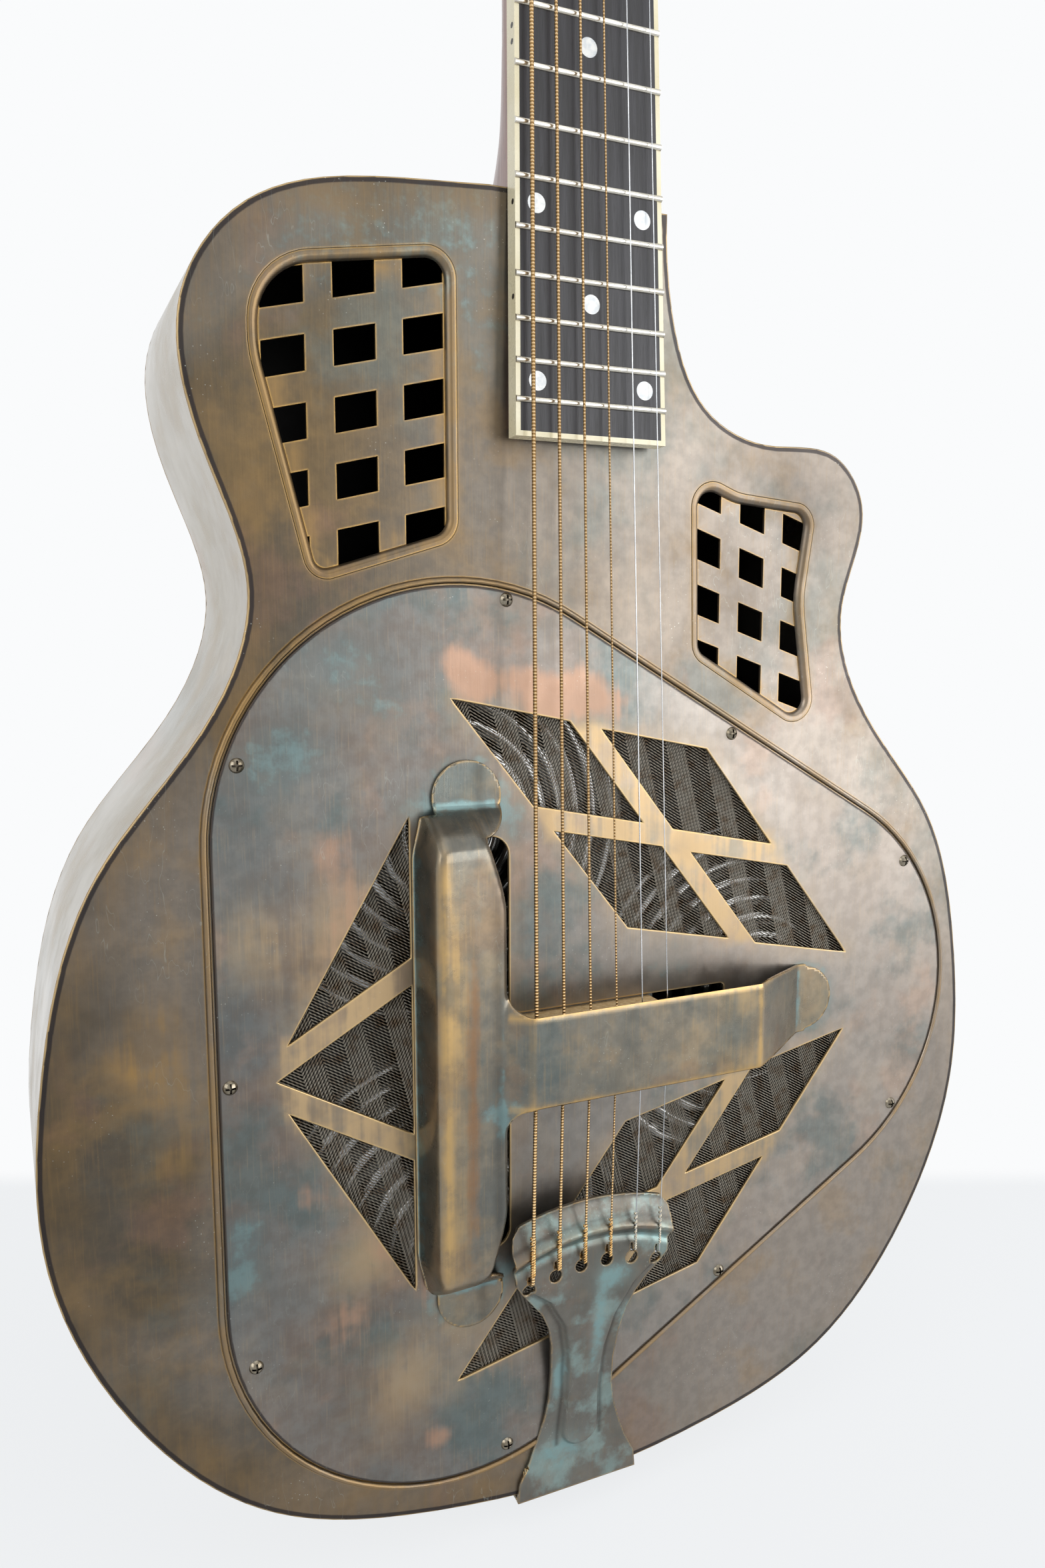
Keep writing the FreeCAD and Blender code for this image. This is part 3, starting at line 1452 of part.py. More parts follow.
for label in ("side_bass", "side_treble"):
    parts[label].Shape = parts[label].Shape.cut(BUTTON_BORE)
bored_block = doc.addObject("Part::Cut", "end_block_bored")
bore = feature("end_block_bore", BUTTON_BORE)
del parts["end_block_bore"]
bored_block.Base = end_block
bored_block.Tool = bore
end_block.Label = "end_block_blank"
keep("end_block", bored_block)

# ---------------------------------------------------------------- checks and files

doc.recompute()
for item in doc.Objects:
    if {"Invalid", "Error"} & set(item.State):
        raise RuntimeError(f"{item.Label} did not recompute: {item.State}")
for label, item in parts.items():
    if item.Shape.isNull() or not item.Shape.isValid():
        raise RuntimeError(f"{label} has no valid shape")
    if not item.Shape.Solids:
        raise RuntimeError(f"{label} has no solid")

os.makedirs("parts", exist_ok=True)
for label, item in sorted(parts.items()):
    item.Shape.exportStep(f"parts/{label}.step")
    box = item.Shape.BoundBox
    print(
        f"{label:22s} solids {len(item.Shape.Solids):3d} volume {item.Shape.Volume:10.1f} "
        f"x {box.XMin:8.2f} {box.XMax:8.2f} y {box.YMin:8.2f} {box.YMax:8.2f} "
        f"z {box.ZMin:8.2f} {box.ZMax:8.2f}"
    )
print(len(parts), "pieces")
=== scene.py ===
"""Looks of a resonator guitar with spun cones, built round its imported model.

The body, coverplate, handrest and tailpiece are sheet brass under an antique patina: brown where it is
thick, gold where hands and cloths have rubbed it, and blue-green where it was left wet.
"""

import logging
import math
from collections.abc import Callable, Iterable, Mapping
from dataclasses import dataclass, field, replace
from enum import Enum

import bmesh
import bpy
import numpy as np
from mathutils import Matrix, Vector
from mathutils.kdtree import KDTree


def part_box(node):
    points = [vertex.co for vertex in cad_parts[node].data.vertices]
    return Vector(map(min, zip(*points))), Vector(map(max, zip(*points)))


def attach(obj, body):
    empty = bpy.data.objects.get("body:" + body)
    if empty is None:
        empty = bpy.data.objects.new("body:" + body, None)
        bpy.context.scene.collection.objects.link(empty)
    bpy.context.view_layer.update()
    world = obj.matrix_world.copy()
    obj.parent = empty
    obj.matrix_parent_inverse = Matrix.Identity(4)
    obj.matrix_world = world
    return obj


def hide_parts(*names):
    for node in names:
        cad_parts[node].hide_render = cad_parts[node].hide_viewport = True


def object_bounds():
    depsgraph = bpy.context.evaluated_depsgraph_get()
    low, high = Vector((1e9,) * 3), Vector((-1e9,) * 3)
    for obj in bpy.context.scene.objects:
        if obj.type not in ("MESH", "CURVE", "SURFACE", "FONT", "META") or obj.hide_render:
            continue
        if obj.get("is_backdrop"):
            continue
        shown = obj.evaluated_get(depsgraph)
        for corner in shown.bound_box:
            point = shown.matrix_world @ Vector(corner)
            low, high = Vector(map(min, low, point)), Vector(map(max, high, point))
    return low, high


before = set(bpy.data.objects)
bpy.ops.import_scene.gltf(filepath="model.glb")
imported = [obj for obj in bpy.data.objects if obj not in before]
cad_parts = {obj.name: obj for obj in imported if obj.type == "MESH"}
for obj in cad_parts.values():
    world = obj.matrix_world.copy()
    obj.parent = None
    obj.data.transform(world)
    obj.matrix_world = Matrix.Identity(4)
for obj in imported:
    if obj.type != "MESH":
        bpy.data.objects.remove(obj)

MM = 0.001
ROOT = "root"
log = logging.getLogger("guitar")


# ---------------------------------------------------------------- colour and node helpers


def linear(hex_colour: str) -> tuple[float, float, float, float]:
    """Turn an sRGB hex colour to linear light.

    Args:
        hex_colour: Six hex digits, with or without a leading hash.

    Returns:
        Red, green, blue and an alpha of 1.
    """
    digits = hex_colour.lstrip("#")
    channels = []
    for place in (0, 2, 4):
        value = int(digits[place : place + 2], 16) / 255
        channels.append(value / 12.92 if value <= 0.04045 else ((value + 0.055) / 1.055) ** 2.4)
    return (channels[0], channels[1], channels[2], 1.0)


def per_metre(millimetres: float) -> float:
    """Pattern scale for a feature of a real size in millimetres."""
    return 1.0 / (millimetres * MM)


def add(
    tree: bpy.types.NodeTree,
    kind: str,
    settings: Mapping[str, object] | None = None,
    **inputs: object,
) -> bpy.types.Node:
    """Add a node with its settings and links.

    Args:
        tree: The node tree it goes in.
        kind: The node's type name without the ShaderNode prefix.
        settings: Attributes of the node itself.
        **inputs: Socket names with underscores for spaces, or in_N for socket number N. A socket links;
            anything else is set as the value.

    Returns:
        The new node.
    """
    node = tree.nodes.new("ShaderNode" + kind)
    for key, value in (settings or {}).items():
        setattr(node, key, value)
    for key, value in inputs.items():
        socket = node.inputs[int(key[3:])] if key.startswith("in_") else node.inputs[key.replace("_", " ")]
        if isinstance(value, bpy.types.NodeSocket):
            tree.links.new(value, socket)
        else:
            socket.default_value = value
    return node


def start_material(name: str) -> tuple[bpy.types.Material, bpy.types.NodeTree, bpy.types.NodeSocket]:
    """Make an empty node material.

    Args:
        name: The material's name.

    Returns:
        The material, its tree and the object coordinates.
    """
    material = bpy.data.materials.new(name)
    material.use_nodes = True
    tree = material.node_tree
    tree.nodes.clear()
    return material, tree, add(tree, "TexCoord").outputs["Object"]


def finish_material(tree: bpy.types.NodeTree, surface: bpy.types.NodeSocket) -> None:
    """Send a surface to the material's output."""
    add(tree, "OutputMaterial", Surface=surface)


def bumped(tree: bpy.types.NodeTree, height: object, strength: float, deep_mm: float) -> bpy.types.NodeSocket:
    """A surface direction roughened by a height."""
    return add(tree, "Bump", Strength=strength, Distance=deep_mm * MM, Height=height).outputs[0]


def finish_shader(tree: bpy.types.NodeTree, **inputs: object) -> None:
    """Lead one shader to a material's output."""
    finish_material(tree, add(tree, "BsdfPrincipled", **inputs).outputs[0])


def math_node(
    tree: bpy.types.NodeTree, operation: str, first: object, second: object = 0.0
) -> bpy.types.NodeSocket:
    """One sum of two values.

    Args:
        tree: The tree it goes in.
        operation: The name of the sum.
        first: Left value or socket.
        second: Right value or socket.

    Returns:
        The result.
    """
    return add(tree, "Math", {"operation": operation}, in_0=first, in_1=second).outputs[0]


def times(tree: bpy.types.NodeTree, first: object, second: object) -> bpy.types.NodeSocket:
    """The product of two values."""
    return math_node(tree, "MULTIPLY", first, second)


def attribute(tree: bpy.types.NodeTree, name: str) -> bpy.types.NodeSocket:
    """A value painted on the mesh."""
    return add(tree, "Attribute", {"attribute_name": name}).outputs["Fac"]


def over(tree: bpy.types.NodeTree, under: object, share: object, hex_colour: str) -> bpy.types.NodeSocket:
    """Lay a colour over another.

    Args:
        tree: The tree it goes in.
        under: Colour or socket under.
        share: How much of the upper colour shows.
        hex_colour: The upper colour.

    Returns:
        The blended colour.
    """
    node = add(tree, "Mix", {"data_type": "RGBA"}, in_0=share, in_6=under, in_7=linear(hex_colour))
    return node.outputs[2]


def between(
    tree: bpy.types.NodeTree,
    value: bpy.types.NodeSocket,
    low: float,
    high: float,
    bottom: float = 0.0,
    top: float = 1.0,
) -> bpy.types.NodeSocket:
    """Map a value from low..high to bottom..top with soft ends.

    Args:
        tree: The tree it goes in.
        value: What is mapped.
        low: Where the rise starts.
        high: Where the rise ends.
        bottom: Result at low.
        top: Result at high.

    Returns:
        The mapped value.
    """
    ends = {"in_1": low, "in_2": high, "in_3": bottom, "in_4": top}
    return add(tree, "MapRange", {"interpolation_type": "SMOOTHSTEP"}, in_0=value, **ends).outputs[0]


def clouds(
    tree: bpy.types.NodeTree,
    place: bpy.types.NodeSocket,
    size_mm: float,
    detail: float = 3.0,
    shift: float = 0.0,
) -> bpy.types.NodeSocket:
    """Soft noise of a real size.

    Args:
        tree: The tree it goes in.
        place: Coordinates in metres.
        size_mm: Size of a patch.
        detail: Octaves.
        shift: Moves the pattern, so that two of one size differ.

    Returns:
        A value round a half.
    """
    moved = add(tree, "Mapping", Vector=place, Location=(shift, 0.7 * shift, 1.3 * shift))
    shape = {"Scale": per_metre(size_mm), "Detail": detail, "Roughness": 0.6}
    return add(tree, "TexNoise", Vector=moved.outputs[0], **shape).outputs[0]


def stretched(
    tree: bpy.types.NodeTree,
    place: bpy.types.NodeSocket,
    sizes_mm: tuple[float, float, float],
    detail: float = 2.0,
) -> bpy.types.NodeSocket:
    """Noise drawn out into streaks.

    Args:
        tree: The tree it goes in.
        place: Coordinates in metres.
        sizes_mm: Size of a streak across, in depth and up.
        detail: Octaves.

    Returns:
        A value round a half.
    """
    scaled = add(tree, "Mapping", Vector=place, Scale=tuple(per_metre(size) for size in sizes_mm))
    return add(tree, "TexNoise", Vector=scaled.outputs[0], Scale=1.0, Detail=detail).outputs[0]


def worn_edge(tree: bpy.types.NodeTree, radius_mm: float) -> bpy.types.NodeSocket:
    """How near a sharp edge a point lies, from 0 to 1.

    Args:
        tree: The tree it goes in.
        radius_mm: How far the wear reaches.

    Returns:
        The share of wear.
    """
    rounded = add(tree, "Bevel", {"samples": 4}, Radius=radius_mm * MM).outputs[0]
    flat = add(tree, "NewGeometry").outputs["Normal"]
    dot = add(tree, "VectorMath", {"operation": "DOT_PRODUCT"}, in_0=rounded, in_1=flat).outputs["Value"]
    return between(tree, dot, 0.995, 0.80, 0.0, 1.0)


# ---------------------------------------------------------------- finishes

GRAIN = "#2c2823"
RECESS_SHADE = "#15120f"
CRUST = "#7d9c9d"
EDGE_GOLD = "#c9a15c"
LINE_GOLD = "#c6ab7c"
RIM_SHADE = "#28262a"
DUSK = "#2a2522"
SALT = "#bfc2ba"
SCRATCH = "#a9b0a8"
INSIDE_SHADE = "#0d0c0c"
# Where the painted light towards the right starts and ends, in metres across.
PAINTED_LIGHT_FROM_TO = (-0.12, 0.11)


@dataclass(frozen=True)
class Noises:
    """The noises that the layers of one brass finish share."""

    place: bpy.types.NodeSocket
    wide: bpy.types.NodeSocket
    middling: bpy.types.NodeSocket
    small: bpy.types.NodeSocket
    hazy: bpy.types.NodeSocket
    brush: bpy.types.NodeSocket


@dataclass(frozen=True)
class AgedBrass:
    """Sheet brass darkened with acid and rubbed back by hand.

    Patches of brown, grey, copper pink and blue-green oxide lie over it, and its edges are rubbed gold.
    """

    name: str
    ground: str
    shade: str
    haze: str
    gold: str
    bloom: str
    flush: str
    gold_share: float = 0.5
    bloom_share: float = 0.5
    flush_share: float = 0.5
    haze_share: float = 0.5
    roughness: float = 0.38
    metallic: float = 0.85
    patch_mm: float = 60.0
    edge_mm: float = 1.2
    rim_shade_mm: float = 0.0
    rim_shade_from_mm: float = 0.0
    gold_line_mm: float = 0.0
    crust_share: float = 0.4
    painted_light_right: float = 0.0
    brush_mm: tuple[float, float, float] = (0.7, 14.0, 16.0)
    grain_share: float = 0.16
    scratch_share: float = 0.22
    speck_share: float = 0.5
    painted_shade_inside: bool = False
    seed: float = 0.0

    def build(self) -> bpy.types.Material:
        """Make the material."""
        material, tree, place = start_material(self.name)
        noises = Noises(
            place=place,
            wide=clouds(tree, place, self.patch_mm, 3.0, self.seed),
            middling=clouds(tree, place, self.patch_mm / 3, 4.0, self.seed + 1.7),
            small=clouds(tree, place, 5.0, 4.0, self.seed + 2.9),
            hazy=clouds(tree, place, self.patch_mm * 1.3, 3.0, self.seed + 6.2),
            brush=stretched(tree, place, self.brush_mm, 3.0),
        )
        colour = self.patched(tree, noises)
        colour = self.stained(tree, noises, colour)
        colour = self.lined(tree, noises, colour)
        colour = self.marked(tree, noises, colour)
        rough = math_node(tree, "ADD", between(tree, noises.middling, 0.3, 0.7, -0.07, 0.08), self.roughness)
        tiny = clouds(tree, place, 1.3, 2.0, self.seed + 4.1)
        bumpy = math_node(tree, "ADD", times(tree, tiny, 0.35), times(tree, noises.brush, 0.5))
        normal = bumped(tree, bumpy, 0.10, 0.4)
        finish_shader(tree, Base_Color=colour, Metallic=self.metallic, Roughness=rough, Normal=normal)
        return material

    def patched(self, tree: bpy.types.NodeTree, noises: Noises) -> bpy.types.NodeSocket:
        """Lay the wide patches over the ground colour, paler towards the right as painted light.

        Args:
            tree: The tree they go in.
            noises: The noises that shape them.

        Returns:
            The colour.
        """
        place = noises.place
        uneven = math_node(tree, "ADD", noises.wide, times(tree, noises.small, 0.25))
        colour = over(tree, linear(self.ground), between(tree, uneven, 0.48, 0.78), self.shade)
        share = times(tree, between(tree, noises.hazy, 0.42, 0.62), self.haze_share)
        # Paler haze towards the right: painted light, as from the brighter lamp on that side.
        axes = add(tree, "SeparateXYZ", Vector=place)
        painted_light_mask = between(tree, axes.outputs["X"], *PAINTED_LIGHT_FROM_TO, 0.0, self.painted_light_right)
        colour = over(tree, colour, math_node(tree, "MAXIMUM", share, painted_light_mask), self.haze)
        bloom = clouds(tree, place, self.patch_mm * 0.8, 8.0, self.seed + 8.4)
        flush = clouds(tree, place, self.patch_mm * 0.7, 8.0, self.seed + 11.3)
        for noise, low, high, most, patch in (
            (noises.middling, 0.50, 0.68, self.gold_share, self.gold),
            (bloom, 0.50, 0.64, self.bloom_share, self.bloom),
            (flush, 0.56, 0.66, self.flush_share, self.flush),
        ):
            colour = over(tree, colour, times(tree, between(tree, noise, low, high), most), patch)
        colour = over(tree, colour, between(tree, noises.small, 0.35, 0.65, 0.0, self.grain_share), GRAIN)
        return over(tree, colour, between(tree, noises.brush, 0.52, 0.75, 0.0, 0.14), self.gold)

    def stained(
        self, tree: bpy.types.NodeTree, noises: Noises, colour: bpy.types.NodeSocket
    ) -> bpy.types.NodeSocket:
        """Add blue-green, gold and copper where the mesh's attributes put them.

        Args:
            tree: The tree they go in.
            noises: The noises that break them up.
            colour: The colour under them.

        Returns:
            The colour.
        """
        strokes = stretched(tree, noises.place, tuple(4 * size for size in self.brush_mm), 4.0)
        ragged = math_node(tree, "ADD", times(tree, noises.middling, 0.6), times(tree, strokes, 0.4))
        wet = attribute(tree, "verdigris")
        colour = over(tree, colour, times(tree, wet, 0.6), self.bloom)
        crust = times(tree, self.broken(tree, wet, noises.small), self.crust_share)
        colour = over(tree, colour, crust, CRUST)
        # Gold from the wear attribute: worn brass, and on the handrest also painted highlight.
        rubbed = times(tree, attribute(tree, "rubbed"), between(tree, ragged, 0.38, 0.56, 0.35, 1.0))
        colour = over(tree, colour, rubbed, self.gold)
        bare = times(tree, self.broken(tree, attribute(tree, "flushed"), ragged), 0.75)
        return over(tree, colour, bare, self.flush)

    def lined(
        self, tree: bpy.types.NodeTree, noises: Noises, colour: bpy.types.NodeSocket
    ) -> bpy.types.NodeSocket:
        """Rub the edges gold, draw the lines beside them, the dark one as painted shade, and darken the
        shaded places.

        Args:
            tree: The tree they go in.
            noises: The noises that break them up.
            colour: The colour under them.

        Returns:
            The colour.
        """
        uneven = between(tree, noises.small, 0.30, 0.55, 0.45, 0.95)
        colour = over(tree, colour, times(tree, worn_edge(tree, self.edge_mm), uneven), EDGE_GOLD)
        if self.gold_line_mm:
            inward = attribute(tree, "edge_mm")
            thin = between(tree, inward, self.gold_line_mm, self.gold_line_mm * 0.4)
            thin = times(tree, thin, between(tree, noises.middling, 0.3, 0.6, 0.45, 0.9))
            colour = over(tree, colour, thin, LINE_GOLD)
        # A dark line along the rim: painted shade, on the coverplate the shadow in the gap to the body.
        if self.rim_shade_mm:
            inward = attribute(tree, "rim_mm")
            end = self.rim_shade_from_mm + self.rim_shade_mm
            dark = between(tree, inward, end, end - 0.5, 0.0, 0.85)
            dark = times(tree, dark, between(tree, inward, self.rim_shade_from_mm - 0.3, self.rim_shade_from_mm))
            colour = over(tree, colour, dark, RIM_SHADE)
        return over(tree, colour, attribute(tree, "shadowed"), DUSK)

    def marked(
        self, tree: bpy.types.NodeTree, noises: Noises, colour: bpy.types.NodeSocket
    ) -> bpy.types.NodeSocket:
        """Sprinkle salt specks and fine scratches over, and paint shade on the faces that look inwards.

        Args:
            tree: The tree they go in.
            noises: The noises that gather them.
            colour: The colour under them.

        Returns:
            The colour.
        """
        place = noises.place
        salt = add(tree, "TexVoronoi", Vector=place, Scale=per_metre(1.7)).outputs["Distance"]
        patchy = between(tree, clouds(tree, place, 38.0, 3.0, self.seed + 15.0), 0.52, 0.68)
        specks = times(tree, between(tree, salt, 0.14, 0.07), patchy)
        colour = over(tree, colour, times(tree, specks, self.speck_share), SALT)
        wander = math_node(tree, "SUBTRACT", stretched(tree, place, (9.0, 9.0, 34.0), 3.0), 0.5)
        hair = between(tree, math_node(tree, "ABSOLUTE", wander), 0.0035, 0.0)
        scratches = times(tree, hair, between(tree, noises.hazy, 0.50, 0.62, 0.0, self.scratch_share))
        colour = over(tree, colour, scratches, SCRATCH)
        # Faces that look back into the body go near-black: painted shade for the dark inside.
        if self.painted_shade_inside:
            facing = add(tree, "NewGeometry").outputs["Normal"]
            depth = add(tree, "SeparateXYZ", Vector=facing).outputs["Y"]
            colour = over(tree, colour, between(tree, depth, -0.2, -0.8), INSIDE_SHADE)
        return colour

    def broken(
        self, tree: bpy.types.NodeTree, share: bpy.types.NodeSocket, noise: bpy.types.NodeSocket
    ) -> bpy.types.NodeSocket:
        """Give a soft patch a ragged edge.

        Args:
            tree: The tree it goes in.
            share: The soft patch, from 0 to 1.
            noise: What breaks its edge.

        Returns:
            The patch with its edge broken up.
        """
        swing = times(tree, math_node(tree, "SUBTRACT", noise, 0.5), 1.6)
        inside = between(tree, math_node(tree, "ADD", share, swing), 0.25, 0.80)
        return times(tree, inside, between(tree, share, 0.02, 0.40))


@dataclass(frozen=True)
class WovenWire:
    """Fine steel wire woven as herringbone twill, with a trace of rust; the cones glint through its gaps."""

    name: str = "woven_steel_wire"
    wire: str = "#9c968a"
    rust: str = "#7d6b57"
    groove: str = "#0c0b0b"
    pitch_mm: float = 1.35
    turn_every: float = 6.0
    open_share: float = 0.95

    def build(self) -> bpy.types.Material:
        """Make the material; real wire is nearer 0.5 mm apart and is drawn coarser so that it shows."""
        material, tree, place = start_material(self.name)
        turned = add(tree, "Mapping", Vector=place, Rotation=(0.0, math.radians(14.0), 0.0))
        axes = add(tree, "SeparateXYZ", Vector=turned.outputs[0])
        across = times(tree, axes.outputs["X"], per_metre(self.pitch_mm))
        up = times(tree, axes.outputs["Z"], per_metre(self.pitch_mm))
        zigzag = math_node(tree, "PINGPONG", across, self.turn_every)
        slope = times(tree, math_node(tree, "ADD", zigzag, up), 2 * math.pi)
        ribs = math_node(tree, "SINE", slope)
        threads = math_node(tree, "SINE", times(tree, across, 2 * math.pi))
        raised = math_node(tree, "ADD", ribs, times(tree, threads, 0.45))
        rusty = clouds(tree, place, 5.0, 4.0)
        colour = over(tree, linear(self.wire), between(tree, rusty, 0.45, 0.70), self.rust)
        # Near-black between the raised threads: painted shade between the wires.
        colour = over(tree, colour, between(tree, raised, 0.9, -0.3), self.groove)
        looks = {"Metallic": 0.75, "Roughness": 0.36, "Normal": bumped(tree, raised, 0.8, 0.6)}
        wire = add(tree, "BsdfPrincipled", Base_Color=colour, **looks)
        gap = add(tree, "BsdfTransparent")
        hole = between(tree, raised, 0.62, -0.02, 0.0, self.open_share)
        see = add(tree, "MixShader", in_0=hole, in_1=wire.outputs[0], in_2=gap.outputs[0])
        finish_material(tree, see.outputs[0])
        return material


@dataclass(frozen=True)
class SpunAluminium:
    """Thin aluminium spun on a lathe: bright, with fine turning marks round each cone's own centre and
    painted shade in its ripples' troughs.
    """

    name: str
    centre: tuple[float, float]
    bright: str = "#f4f4f2"
    dull: str = "#dededd"
    ripple_shade: str = "#4f4e4b"
    ring_mm: float = 1.1
    crest_mm: float = 7.6

    def build(self) -> bpy.types.Material:
        """Make the material."""
        material, tree, place = start_material(self.name)
        x, z = self.centre
        centred = add(tree, "Mapping", Vector=place, Location=(-x, 0.0, -z), Scale=(1.0, 0.0, 1.0))
        reach = add(tree, "VectorMath", {"operation": "LENGTH"}, in_0=centred.outputs[0]).outputs["Value"]
        rings, crests = (
            math_node(tree, "SINE", times(tree, reach, 2 * math.pi * per_metre(pitch)))
            for pitch in (self.ring_mm, self.crest_mm)
        )
        coarse = clouds(tree, place, 14.0, 3.0)
        bright = over(tree, linear(self.bright), between(tree, coarse, 0.3, 0.7), self.dull)
        # Dark rings at the ripples' pitch: painted shade in their troughs.
        colour = over(tree, bright, between(tree, crests, 0.85, 0.1), self.ripple_shade)
        rough = between(tree, coarse, 0.3, 0.7, 0.10, 0.17)
        normal = bumped(tree, rings, 0.2, 0.2)
        finish_shader(tree, Base_Color=colour, Metallic=1.0, Roughness=rough, Normal=normal)
        return material


@dataclass(frozen=True)
class PlainFinish:
    """A finish of one colour with cloudy variation, a little grain and its own gloss, and if asked painted
    shade in its recesses.
    """

    name: str
    colour: str
    second: str
    roughness: float
    metallic: float = 0.0
    patch_mm: float = 12.0
    bump_mm: float = 0.05
    coat: float = 0.0
    recess_shade_mm: float = 0.0

    def build(self) -> bpy.types.Material:
        """Make the material."""
        material, tree, place = start_material(self.name)
        patches = clouds(tree, place, self.patch_mm, 4.0)
        fine = clouds(tree, place, self.patch_mm / 8, 2.0)
        colour = over(tree, linear(self.colour), between(tree, patches, 0.35, 0.65), self.second)
        # Darker where ambient occlusion finds a recess: painted shade, such as in the screws' cross slots.
        if self.recess_shade_mm:
            closed = add(tree, "AmbientOcclusion", {"samples": 8}, Distance=self.recess_shade_mm * MM).outputs["AO"]
            colour = over(tree, colour, between(tree, closed, 0.85, 0.35), RECESS_SHADE)
        rough = between(tree, fine, 0.3, 0.7, self.roughness * 0.85, self.roughness * 1.15)
        gloss = {"Metallic": self.metallic, "Roughness": rough, "Coat_Weight": self.coat}
        finish_shader(tree, Base_Color=colour, Normal=bumped(tree, fine, 0.25, self.bump_mm), **gloss)
        return material


@dataclass(frozen=True)
class Timber:
    """Wood with pores and grain drawn out along the neck."""

    name: str
    light: str
    dark: str
    pore: str
    roughness: float
    grain_mm: tuple[float, float, float] = (1.6, 1.6, 45.0)
    coat: float = 0.0

    def build(self) -> bpy.types.Material:
        """Make the material."""
        material, tree, place = start_material(self.name)
        grain = stretched(tree, place, self.grain_mm, 4.0)
        pores = stretched(tree, place, (0.5, 0.5, 7.0), 1.0)
        colour = over(tree, linear(self.light), between(tree, grain, 0.35, 0.65), self.dark)
        colour = over(tree, colour, between(tree, pores, 0.60, 0.72, 0.0, 0.7), self.pore)
        rough = between(tree, grain, 0.3, 0.7, self.roughness * 0.9, self.roughness * 1.1)
        gloss = {"Roughness": rough, "Coat_Weight": self.coat}
        finish_shader(tree, Base_Color=colour, Normal=bumped(tree, pores, 0.2, 0.2), **gloss)
        return material


@dataclass(frozen=True)
class WoundWire:
    """Bronze wire wound on a core; the winding is drawn coarser than its real 0.3 mm so that it shows."""

    name: str = "bronze_wound_string"
    colour: str = "#e3c292"
    groove: str = "#94703f"
    pitch_mm: float = 1.1

    def build(self) -> bpy.types.Material:
        """Make the material."""
        material, tree, place = start_material(self.name)
        along = add(tree, "SeparateXYZ", Vector=place).outputs["Z"]
        turns = math_node(tree, "SINE", times(tree, along, 2 * math.pi * per_metre(self.pitch_mm)))
        # Darker bronze between the turns: painted shade in the winding's grooves.
        colour = over(tree, linear(self.colour), between(tree, turns, 0.0, -0.9), self.groove)
        normal = bumped(tree, turns, 0.8, 0.3)
        finish_shader(tree, Base_Color=colour, Metallic=1.0, Roughness=0.3, Normal=normal)
        return material


BODY_BRASS = AgedBrass(
    name="aged_brass_body",
    ground="#64543c",
    shade="#544e45",
    haze="#9d958d",
    gold="#92754a",
    bloom="#5d6866",
    flush="#86685a",
    gold_share=0.28,
    bloom_share=0.50,
    flush_share=0.30,
    haze_share=0.32,
    rim_shade_mm=1.5,
    rim_shade_from_mm=0.7,
    gold_line_mm=0.8,
    painted_light_right=0.8,
    patch_mm=80.0,
)
COVER_BRASS = AgedBrass(
    name="aged_brass_coverplate",
    ground="#656867",
    shade="#6e625a",
    haze="#a0978e",
    gold="#b39a76",
    bloom="#526768",
    flush="#ab8871",
    gold_share=0.08,
    bloom_share=0.55,
    flush_share=0.24,
    haze_share=0.22,
    # Painted shadow of the gap between coverplate and body, as a dark line along the rim.
    rim_shade_mm=1.1,
    gold_line_mm=0.9,
    painted_light_right=0.85,
    patch_mm=62.0,
    seed=3.3,
)
REST_BRASS = AgedBrass(
    name="aged_brass_handrest",
    crust_share=0.65,
    ground="#837b6d",
    shade="#6c6d68",
    haze="#8f8676",
    gold="#b99a68",
    bloom="#56686b",
    flush="#8a6647",
    gold_share=0.16,
    bloom_share=0.45,
    flush_share=0.28,
    haze_share=0.45,
    roughness=0.30,
    brush_mm=(0.7, 14.0, 16.0),
    patch_mm=46.0,
    edge_mm=1.6,
    seed=7.9,
)
TAIL_BRASS = AgedBrass(
    name="aged_brass_tailpiece",
    crust_share=0.75,
    ground="#66655f",
    shade="#737069",
    haze="#6f6c67",
    gold="#8d7553",
    bloom="#8fa8a5",
    flush="#7b6557",
    gold_share=0.12,
    bloom_share=0.6,
    flush_share=0.3,
    haze_share=0.5,
    roughness=0.40,
    patch_mm=26.0,
    seed=12.4,
)
# The sides take a paler, greyer copy of the brass: painted sheen for the bright grazing reflection along
# them.
SIDE_BRASS_SHEEN = AgedBrass(
    name="aged_brass_side_painted_sheen",
    ground="#a39b8a",
    shade="#948a78",
    haze="#bfbab2",
    gold="#ae9469",
    bloom="#8e9694",
    flush="#b0927e",
    gold_share=0.22,
    bloom_share=0.35,
    flush_share=0.3,
    haze_share=0.5,
    roughness=0.22,
    brush_mm=(9.0, 40.0, 9.0),
    grain_share=0.03,
    scratch_share=0.0,
    speck_share=0.05,
    patch_mm=110.0,
    seed=17.0,
)
# The back also takes painted shade on its inward faces.
BACK_BRASS = replace(
    BODY_BRASS,
    name="aged_brass_back",
    painted_shade_inside=True,
    ground="#76674e",
    haze="#8b8478",
    rim_shade_mm=0.0,
    gold_line_mm=0.0,
    painted_light_right=0.0,
    seed=21.0,
)


